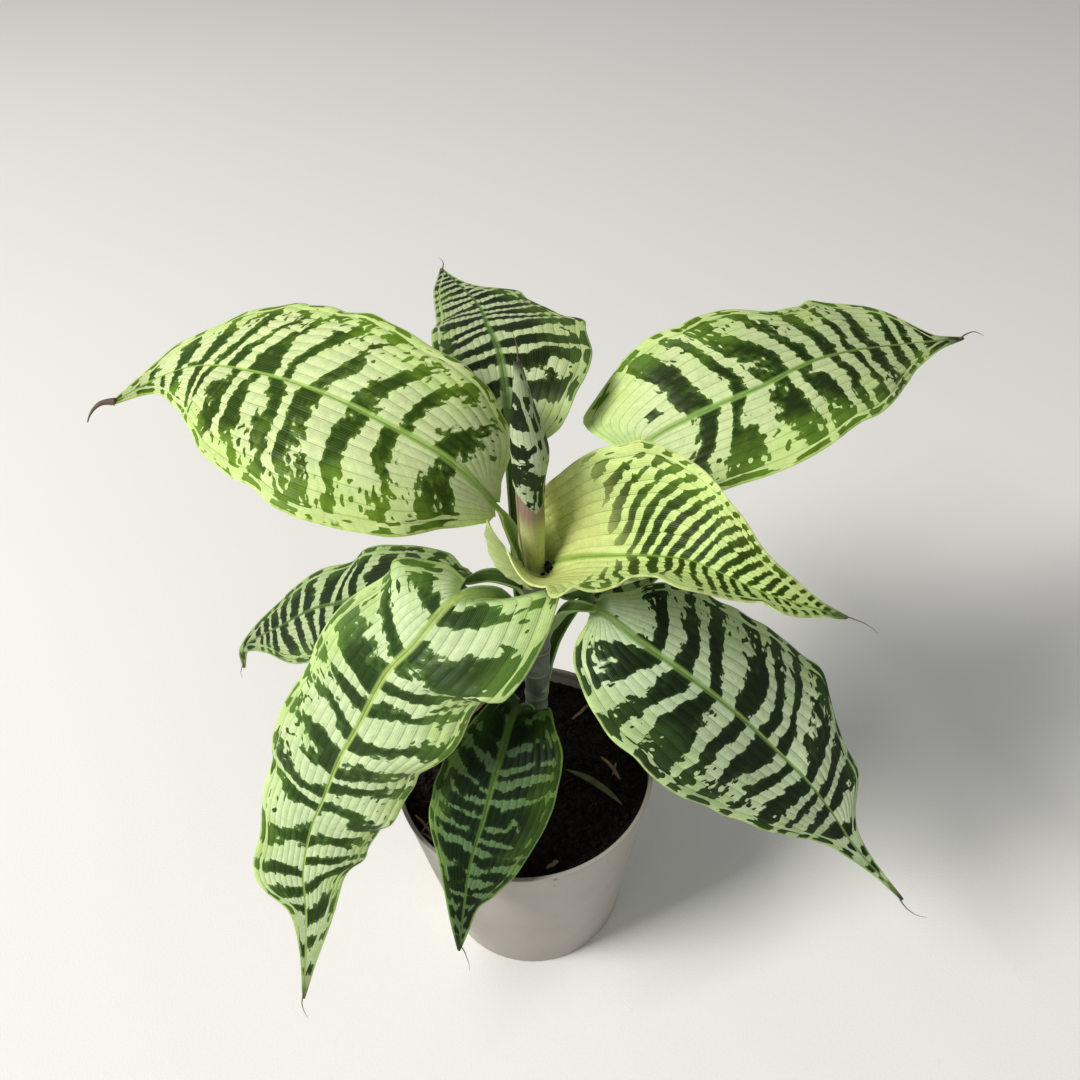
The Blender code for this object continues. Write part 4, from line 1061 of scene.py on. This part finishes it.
# The upper leaf at the back: a blade that rises behind the spear, dark green with thin pale bars.
tip_upper_back = grow_leaf("leaf_upper_back", {
    "azimuth": 125, "sheath": (172, 180), "petiole": [(2, 15, 205), (3, 32, 238)],
    "midrib": [(2, 51, 262), (2, 55, 274), (1, 67, 279), (-1, 81, 280), (-5, 100, 278),
               (-10, 130, 272), (-30, 188, 262)],
    "face": (0, -0.5, 1), "seed": 3,
    "left": half((8, 14, 24, 28, 25, 22, 18, 13, 6), curl=(-15, -15, -15, -5)),
    "right": half((9, 15, 26, 36, 34, 23, 10, 3, 1), curl=(-15, -15, -15, -5),
                  teeth=((0.34, 0.03, 2), (0.5, 0.04, -2), (0.62, 0.03, 3)))}, "leaf_dark",
    {"Seed": 9.9, "Period": 15.5, "Dark": 0.62, "Ragged": 0.9, "Merge": 0.75, "Bare": 2.0, "Speckle": 0.6},
    {"Ground": (186, 200, 150), "Outer Ground": (166, 184, 118), "Core": (16, 30, 2), "Rim": (46, 68, 20),
     "Outer Band": (70, 94, 38), "Midrib": (92, 122, 58), "Margin": (176, 200, 128), "Tip": (62, 74, 38),
     "Plain": (58, 70, 40)})


# The lower right leaf: a broad blade arching forward, silver-green with strong dark crossbands.
tip_lower_right = grow_leaf("leaf_lower_right", {
    "azimuth": -30, "sheath": (193, 198), "petiole": [(23, -1, 207)],
    "midrib": [(34, -8, 213), (47, -23, 212), (64, -33, 203), (84, -40, 186), (101, -46, 168),
               (111, -51, 158), (123, -57, 142), (133, -65, 128), (151, -80, 112)],
    "face": (0.2, -0.4, 0.9), "seed": 4,
    "left": half((7, 11, 24, 35, 40, 43, 27, 6, 2),
                 teeth=((0.6, 0.03, 2), (0.67, 0.03, -2), (0.75, 0.03, 5))),
    "right": half((4, 7, 24, 36, 40, 34, 21, 7, 2))}, "leaf_dark",
    {"Seed": 12.9, "Period": 22.0, "Dark": 0.57, "Ragged": 1.2, "Merge": 0.75, "Bare": 10.0, "Speckle": 1.0},
    {"Ground": (198, 218, 172), "Outer Ground": (182, 206, 142), "Core": (10, 30, 1), "Rim": (36, 60, 20),
     "Outer Band": (50, 74, 26), "Midrib": (128, 158, 80), "Margin": (186, 212, 130), "Tip": (38, 56, 26),
     "Plain": (120, 152, 86)})


# The upper right leaf: a broad, nearly level blade, cream-green with green crossbands, and a dark
# rolled tip.
tip_upper_right = grow_leaf("leaf_upper_right", {
    "azimuth": 60, "sheath": (184, 189), "petiole": [(18, 15, 210), (31, 22, 242)],
    "midrib": [(55, 35, 260), (75, 36, 272), (100, 41, 280), (119, 52, 282), (137, 62, 280),
               (160, 75, 274), (196, 88, 268)],
    "face": (0, -0.3, 1), "seed": 5,
    "left": half((13, 27, 37, 42, 42, 30, 27, 19, 3), curl=(-12, -12, -12, -5),
                 teeth=((0.52, 0.04, -2), (0.66, 0.03, 3))),
    "right": half((13, 24, 33, 37, 36, 34, 23, 12, 4), curl=(-8, -8, -8, -5))}, "leaf_light",
    {"Seed": 18.7, "Period": 23.0, "Dark": 0.50, "Ragged": 1.1, "Merge": 1.0, "Bare": 12.0, "Speckle": 1.2},
    {"Ground": (202, 218, 158), "Outer Ground": (194, 216, 134), "Core": (24, 44, 1), "Rim": (68, 96, 28),
     "Outer Band": (94, 128, 36), "Midrib": (134, 170, 80), "Margin": (198, 226, 128), "Tip": (30, 46, 10),
     "Plain": (182, 208, 134)}, tip_start=0.86)


# The lower left leaf: the broadest of the lower ones, arching forward and down over the pot's left,
# pale silver-green with mid-green crossbands, on a short bent petiole.
tip_lower_left = grow_leaf("leaf_lower_left", {
    "azimuth": 210, "sheath": (202, 207), "petiole": [(-7, -7, 224)],
    "midrib": [(-19, -13, 230), (-37, -26, 218), (-48, -28, 206), (-62, -33, 182), (-73, -36, 163),
               (-82, -41, 144), (-88, -46, 133), (-93, -58, 117), (-92, -70, 107), (-94, -95, 84)],
    "face": (0.15, -0.45, 0.85), "seed": 6,
    "left": half((18, 29, 38, 38, 35, 32, 25, 13, 5), curl=(-40, -40, -35, -10), sweep=(60, 32, 18, 0),
                 teeth=((0.36, 0.04, 2), (0.45, 0.04, -2), (0.74, 0.03, 3))),
    "right": half((8, 14, 29, 31, 33, 30, 20, 7, 2), curl=(-35, -40, -35, -10),
                  teeth=((0.76, 0.04, 7),))}, "leaf_dark",
    {"Seed": 23.4, "Period": 24.0, "Dark": 0.52, "Ragged": 1.2, "Merge": 1.0, "Bare": 7.0, "Speckle": 1.1},
    {"Ground": (202, 222, 168), "Outer Ground": (188, 212, 134), "Core": (36, 62, 14), "Rim": (76, 108, 44),
     "Outer Band": (94, 128, 48), "Midrib": (168, 192, 102), "Margin": (196, 222, 136), "Tip": (56, 80, 36),
     "Plain": (150, 180, 108)})


# The left leaf at the back: a narrower blade that droops to the left, dark with silver bars.
tip_left_back = grow_leaf("leaf_left_back", {
    "azimuth": 165, "sheath": (211, 216), "petiole": [(-7, 3, 224)],
    "midrib": [(-19, 6, 220), (-45, 15, 212), (-72, 20, 197), (-86, 26, 188), (-103, 31, 174),
               (-126, 35, 155), (-127, 31, 147)],
    "face": (-0.1, -0.4, 0.9), "seed": 7,
    "left": half((8, 13, 20, 25, 27, 25, 20, 9, 3), curl=(-30, -35, -30, -10)),
    "right": half((5, 6, 13, 17, 22, 19, 15, 9, 3))}, "leaf_dark",
    {"Seed": 29.8, "Period": 16.0, "Dark": 0.64, "Ragged": 1.0, "Merge": 0.8, "Bare": 4.0, "Speckle": 0.8},
    {"Ground": (176, 194, 144), "Outer Ground": (160, 184, 118), "Core": (20, 38, 6), "Rim": (50, 74, 26),
     "Outer Band": (70, 96, 38), "Midrib": (92, 122, 60), "Margin": (174, 200, 122), "Tip": (46, 62, 30),
     "Plain": (110, 136, 80)})


# The upper left leaf: a broad, nearly level blade, cream-green with irregular mid-green crossbands
# and bright yellow-green margins, its long tip dried brown and curled.
tip_upper_left = grow_leaf("leaf_upper_left", {
    "azimuth": 140, "sheath": (220, 224), "petiole": [(2, 10, 235), (-1, 10, 247)],
    "midrib": [(-4, 7, 258), (-19, 8, 278), (-40, 15, 290), (-62, 28, 295), (-87, 45, 294),
               (-118, 67, 286), (-140, 76, 276), (-161, 71, 268)],
    "face": (0, -0.3, 1), "seed": 8,
    "left": half((5, 9, 21, 38, 46, 42, 28, 15, 5), curl=(-35, -35, -30, -10)),
    "right": half((4, 8, 28, 38, 41, 43, 37, 20, 6), curl=(-25, -25, -20, -10),
                  teeth=((0.55, 0.03, -2), (0.68, 0.02, 3), (0.86, 0.02, 2)))}, "leaf_light",
    {"Seed": 37.5, "Period": 25.0, "Dark": 0.47, "Ragged": 1.3, "Merge": 1.15, "Bare": 15.0, "Speckle": 1.2},
    {"Ground": (212, 228, 164), "Outer Ground": (204, 226, 140), "Core": (42, 68, 4), "Rim": (86, 116, 30),
     "Outer Band": (108, 142, 32), "Midrib": (150, 184, 84), "Margin": (206, 232, 132), "Tip": (62, 60, 34),
     "Plain": (190, 214, 138)}, tip_start=0.955)


# The youngest open leaf: still a funnel round the spear, pale yellow-green and plain at its base,
# the pale rim doubled by a line of thin green dashes, its far end banded and drawn out to a tip.
tip_funnel = grow_leaf("leaf_funnel", {
    "azimuth": -10, "sheath": (228, 231), "petiole": [(18, -2, 234)],
    "sheath_radius": 5.4, "clasp": 160, "open_all_along": True,
    "midrib": [(20, -4, 237), (28, -9, 243), (42, -16, 249), (55, -24, 255), (64, -30, 258),
               (72, -37, 259), (88, -46, 256), (113, -52, 250)],
    "face": (-0.1, -0.3, 1), "face_at_base": (-0.7, 0, 0.7), "seed": 9,
    "left": half((28, 29, 33, 39, 42, 29, 14, 8, 3), fold=(0, 40, 35, 5), curl=(105, 25, 10, 0),
                 sweep=(10, 10, 10, 0)),
    "right": half((54, 34, 26, 31, 34, 26, 11, 6, 3),
                  fold=((0, 0.04, 0.12, 0.3, 0.65, 1), (0, 0, 8, 26, 32, 5)),
                  curl=((0, 0.04, 0.12, 0.3, 0.65, 1), (175, 135, 60, 15, 10, 0)),
                  sweep=((0, 0.04, 0.12, 0.3, 0.65, 1), (0, 8, 18, 22, 12, 0)), scallop=(21, 3.0))}, "leaf_light",
    {"Seed": 44.1, "Period": 9.5, "Dark": 0.54, "Ragged": 0.8, "Merge": 0.9, "Bare": 26.0, "Speckle": 0.5,
     "Lean": 1.1},
    {"Ground": (202, 224, 140), "Outer Ground": (204, 224, 138), "Core": (36, 58, 1), "Rim": (78, 104, 28),
     "Outer Band": (94, 124, 34), "Midrib": (132, 166, 66), "Margin": (206, 218, 140), "Tip": (66, 78, 44),
     "Plain": (200, 208, 130)}, tip_start=0.90, plain_length=40.0)


# The dry tips: each drip tip ends in a thin brown hair of dead tissue, bent or curled as it dried.
hair_material, tree, shader = new_material("dead_brown_tip", 0.7, 0.25)
place = object_place(tree)
hair_colour = mixed(tree, noise(tree, place, 260.0, 2.0), tint(70, 56, 46), tint(138, 118, 100))
tree.links.new(hair_colour, shader.inputs["Base Color"])
tree.links.new(bump(tree, noise(tree, place, 1500.0, 2.0), 0.0001), shader.inputs["Normal"])
HAIRS = ((tip_lower_front, (0.0040, -0.0060, -0.0060), (0.0012, 0.0, 0.0004), 0.0007),
         (tip_lower_back, (0.0040, 0.0050, -0.0040), (0.0, 0.001, 0.001), 0.0006),
         (tip_upper_back, (-0.0010, 0.0060, 0.0030), (0.001, 0.0, 0.001), 0.0009),
         (tip_lower_right, (0.0090, -0.0060, -0.0040), (-0.0015, -0.001, -0.0015), 0.0009),
         (tip_upper_right, (0.0100, 0.0030, -0.0010), (0.0, 0.001, 0.0018), 0.0010),
         (tip_lower_left, (0.0012, -0.0050, -0.0070), (-0.0016, 0.0, 0.0), 0.0008),
         (tip_left_back, (-0.0020, -0.0010, -0.0060), (-0.001, 0.0, 0.0), 0.0006),
         (tip_upper_left, (-0.0100, -0.0040, -0.0055), (-0.001, 0.0, 0.0030), 0.0034),
         (tip_funnel, (0.0105, -0.0020, -0.0060), (0.001, 0.0, 0.0010), 0.0007))
hair_pieces = []
for k, ((start, ahead), reach, sag, width) in enumerate(HAIRS):
    line = bent_line(start - ahead * 0.0022, start + np.array(reach), 22, sag, 0.0002, 80 + k)
    widths = [width * (1.0 - 0.85 * t ** 0.7) for t in np.linspace(0, 1, 22)]
    hair_pieces.append(ribbon("dry_tip_%d" % k, line, widths, width, 6))
dry_tips = joined("dry_tips", hair_pieces)
finish_piece(dry_tips, (), hair_material)


# The spear's sheath: the next leaf's thin sheath, rolled round on itself, yellow-green low down and
# drying to a pinkish brown with a pale papery edge at its slanting mouth.
SPEAR_FOOT = 0.2296
SPEAR_TOP = 0.276
SPEAR_SLANT = 0.007
SPEAR_WALL = 0.0006
SPEAR_AXIS = ((0.0105, 0.0, 0.229), (0.0098, 0.0, 0.245), (0.0098, 0.0, 0.272), (0.0108, 0.0, 0.285),
              (0.0096, 0.001, 0.300), (0.0078, 0.002, 0.326))
SPEAR_SHEATH_RADII = ((0.2296, 0.0038), (0.236, 0.0040), (0.250, 0.0050), (0.276, 0.0050))
SPEAR_ROLL_START = -208
SPEAR_ROLL_TURN = 395
BLADE_POINT_ANGLE = -70


def spear_centre(height):
    """The spear's centre (metres) at a height."""
    heights = [p[2] for p in SPEAR_AXIS]
    return np.array([smooth_value(height, heights, [p[i] for p in SPEAR_AXIS]) for i in range(2)] + [height])


def rolled_sheet(rows, steps, start, turn, low, high, radius_at, tightness, slant=0.0, point=0.0):
    """Rows of points (mm) of a sheet rolled round the spear, with the place and share of each. The
    upper edge can slant and the lower one can run down to a point in front."""
    grid = np.zeros((rows, steps, 3))
    place = np.zeros((rows, steps, 3))
    share = np.zeros((rows, steps, 3))
    for i, up_share in enumerate(np.linspace(0, 1, rows)):
        for k, around in enumerate(np.linspace(0, 1, steps)):
            angle = math.radians(start + turn * around)
            top = high + slant * (math.cos(angle) - 1) / 2
            foot = low + point * abs(math.sin((angle - math.radians(BLADE_POINT_ANGLE)) / 2))
            height = foot + (top - foot) * up_share
            coil = radius_at(height) * (1 - tightness * (1 - around))
            grid[i, k] = (spear_centre(height) + coil * np.array([math.cos(angle), math.sin(angle), 0])) * 1000
            half_width = radius_at(height) * math.radians(turn) * 500
            place[i, k] = ((around * 2 - 1) * half_width, (height - low) * 1000, (1 - abs(around * 2 - 1)) * half_width)
            share[i, k] = (abs(around * 2 - 1), up_share, 1 if around > 0.5 else -1)
    return grid, place, share


sheath_material, tree, shader = new_material("papery_sheath", 0.5, 0.35)
place = object_place(tree)
height = parts_of(tree, place)[2]
long_grain = noise(tree, put(tree, "ShaderNodeVectorMath", {0: place, 1: (1500.0, 1500.0, 45.0)},
                             operation="MULTIPLY").outputs[0], 1.0, 3.0)
dry = soft_step(tree, calc(tree, "ADD", height, spread(tree, long_grain, 0.010)), 0.250, 0.262)
sheath_colour = mixed(tree, long_grain, tint(170, 178, 104), tint(204, 208, 140))
brown = mixed(tree, long_grain, tint(112, 90, 78), tint(170, 142, 126))
sheath_colour = blend(tree, dry, sheath_colour, brown)
spots = soft_step(tree, noise(tree, place, 900.0, 2.0), 0.62, 0.70)
sheath_colour = mixed(tree, calc(tree, "MULTIPLY", spots, 0.35), sheath_colour, tint(96, 72, 56))
share = parts_of(tree, put(tree, "ShaderNodeAttribute", attribute_name="leaf_share").outputs["Vector"])
papery = soft_step(tree, calc(tree, "MAXIMUM", share[0], share[1]), 0.955, 0.985)
sheath_colour = mixed(tree, calc(tree, "MULTIPLY", papery, 0.75), sheath_colour, tint(214, 190, 160))
tree.links.new(sheath_colour, shader.inputs["Base Color"])
tree.links.new(bump(tree, long_grain, 0.0002), shader.inputs["Normal"])
sheath_rows = rolled_sheet(56, 72, SPEAR_ROLL_START, SPEAR_ROLL_TURN, SPEAR_FOOT, SPEAR_TOP,
                           lambda z: float(np.interp(z, *zip(*SPEAR_SHEATH_RADII))), 0.16, SPEAR_SLANT)
sheath_piece = solid_sheet("spear_sheath_roll", *sheath_rows, np.ones(sheath_rows[0].shape[:2]), SPEAR_WALL, 1.0,
                           [sheath_material, sheath_material])
finish_piece(sheath_piece, ("spear_sheath",))


# The spear's blade: the next young leaf, still tightly rolled, dark green mottled with silver, and
# drawn out at its top to a fine dry point.
BLADE_ROLL_RADII = ((0.262, 0.0056), (0.270, 0.0059), (0.278, 0.0064), (0.286, 0.0070), (0.294, 0.0062),
                    (0.303, 0.0043), (0.313, 0.0024), (0.322, 0.0012))
BLADE_ROLL_POINT = 0.016
CUP_CRUMBS = 42
CUP_PLACE = (0.0165, -0.0022, 0.2325)
CUP_SPREAD = (0.0016, 0.0016, 0.0012)
BLADE_ROLL_START = -75
BLADE_ROLL_TURN = 400
BLADE_ROLL_TIGHTNESS = 0.12
SPEAR_BLADE_THICKNESS = 0.0005

roll_heights, roll_radii = zip(*BLADE_ROLL_RADII)
roll_sheet = rolled_sheet(80, 84, BLADE_ROLL_START, BLADE_ROLL_TURN, roll_heights[0], roll_heights[-1],
                          lambda z: float(smooth_value(z, roll_heights, roll_radii)), BLADE_ROLL_TIGHTNESS,
                          point=BLADE_ROLL_POINT)
roll_weights = np.ones(roll_sheet[0].shape[:2]) * np.clip((1 - np.linspace(0, 1, 80)) / 0.12, 0, 1)[:, None]
roll_materials = leaf_materials(
    "spear_blade", {"Seed": 51.6, "Period": 17.0, "Dark": 0.70, "Ragged": 0.9, "Merge": 2.4, "Bare": -20.0, "Speckle": 2.0},
    {"Ground": (182, 196, 156), "Outer Ground": (158, 178, 128), "Core": (8, 22, 1), "Rim": (34, 52, 18),
     "Outer Band": (42, 60, 22), "Midrib": (60, 84, 44), "Margin": (186, 200, 150), "Tip": (40, 44, 26),
     "Plain": (190, 200, 160)}, tip_start=0.9, plain_length=1.0)
roll_piece = solid_sheet("spear_blade_roll", *roll_sheet, roll_weights, SPEAR_BLADE_THICKNESS, 0.2, roll_materials)
finish_piece(roll_piece, ("spear_blade",))
crumb_draw = np.random.default_rng(97)
cup_crumbs = []
for k in range(CUP_CRUMBS):
    crumb = lump("cup_crumb_%d" % k, 1, 0.28, 100 + k)
    size = crumb_draw.uniform(0.0009, 0.0024)
    crumb.data.transform(Matrix.Translation(Vector(CUP_PLACE) + Vector(crumb_draw.normal(0, 1, 3) * CUP_SPREAD))
                         @ Matrix.Scale(size, 4))
    cup_crumbs.append(crumb)
cup_litter = joined("cup_crumbs", cup_crumbs)
finish_piece(cup_litter, (), crumb_material)
spear_end = spear_centre(0.3215)
spear_hair = ribbon("spear_hair", bent_line(spear_end - (0, 0, 0.002), spear_end + (-0.0008, 0.0006, 0.0095), 16,
                                            (0.0006, 0, 0), 0.0001, 95),
                    [0.0009 * (1 - 0.8 * t) for t in np.linspace(0, 1, 16)], 0.0009, 6)
finish_piece(spear_hair, (), hair_material)


# The floor: a wide sheet of off-white cloth that fills the picture, for the photograph alone.
floor_material, tree, shader = new_material("off_white_cloth", 0.9, 0.1)
place = object_place(tree)
weave = noise(tree, place, 900.0, 2.0)
floor_colour = mixed(tree, noise(tree, place, 1.8, 2.0), (0.86, 0.845, 0.80), (0.90, 0.885, 0.85))
tree.links.new(floor_colour, shader.inputs["Base Color"])
tree.links.new(bump(tree, weave, 0.0001), shader.inputs["Normal"])
FLOOR_HALF = 4.0
floor = mesh_object("floor", [(-FLOOR_HALF, -FLOOR_HALF, 0), (FLOOR_HALF, -FLOOR_HALF, 0),
                              (FLOOR_HALF, FLOOR_HALF, 0), (-FLOOR_HALF, FLOOR_HALF, 0)], [(0, 1, 2, 3)])
floor.data.materials.append(floor_material)


# Light and camera: one large soft lamp high at the upper left, a weak one from the right, and an
# even pale surround; the camera stands where the photograph was taken from.
CAMERA_PLACE = (0.0125, -0.2777, 0.4949)
CAMERA_PITCH = 42.0
CAMERA_ROLL = -2.93
CAMERA_LENS = 33.33
CAMERA_SENSOR = 36.0


def soft_lamp(name, place, target, size, power, colour=(1.0, 1.0, 1.0)):
    """A square area lamp that faces a target."""
    data = bpy.data.lights.new(name, "AREA")
    data.size = size
    data.energy = power
    data.color = colour
    lamp = bpy.data.objects.new(name, data)
    lamp.location = place
    lamp.rotation_euler = (Vector(target) - Vector(place)).to_track_quat("-Z", "Y").to_euler()
    bpy.context.scene.collection.objects.link(lamp)
    return lamp


soft_lamp("key_lamp", (-2.3, -0.8, 2.5), (0, 0.2, 0.1), 1.2, 124.0, (1.0, 0.99, 0.965))
soft_lamp("fill_lamp", (1.2, -2.2, 1.8), (0, 0, 0.15), 1.6, 10.0, (0.98, 0.99, 1.0))
world = bpy.data.worlds.new("pale_surround")
world.use_nodes = True
world.node_tree.nodes["Background"].inputs["Color"].default_value = (0.95, 0.97, 1.0, 1.0)
world.node_tree.nodes["Background"].inputs["Strength"].default_value = 0.22
bpy.context.scene.world = world
bpy.context.scene.view_settings.view_transform = "Standard"

pitch, roll = math.radians(CAMERA_PITCH), math.radians(CAMERA_ROLL)
ahead = Vector((0, math.cos(pitch), -math.sin(pitch)))
level_up = Vector((1, 0, 0)).cross(ahead)
right = math.cos(roll) * Vector((1, 0, 0)) + math.sin(roll) * level_up
up = math.cos(roll) * level_up - math.sin(roll) * Vector((1, 0, 0))
camera_data = bpy.data.cameras.new("photo_camera")
camera_data.lens = CAMERA_LENS
camera_data.sensor_width = CAMERA_SENSOR
camera = bpy.data.objects.new("photo_camera", camera_data)
camera.matrix_world = Matrix((( right.x, up.x, -ahead.x, CAMERA_PLACE[0]), (right.y, up.y, -ahead.y, CAMERA_PLACE[1]),
                              (right.z, up.z, -ahead.z, CAMERA_PLACE[2]), (0, 0, 0, 1)))
bpy.context.scene.collection.objects.link(camera)
bpy.context.scene.camera = camera
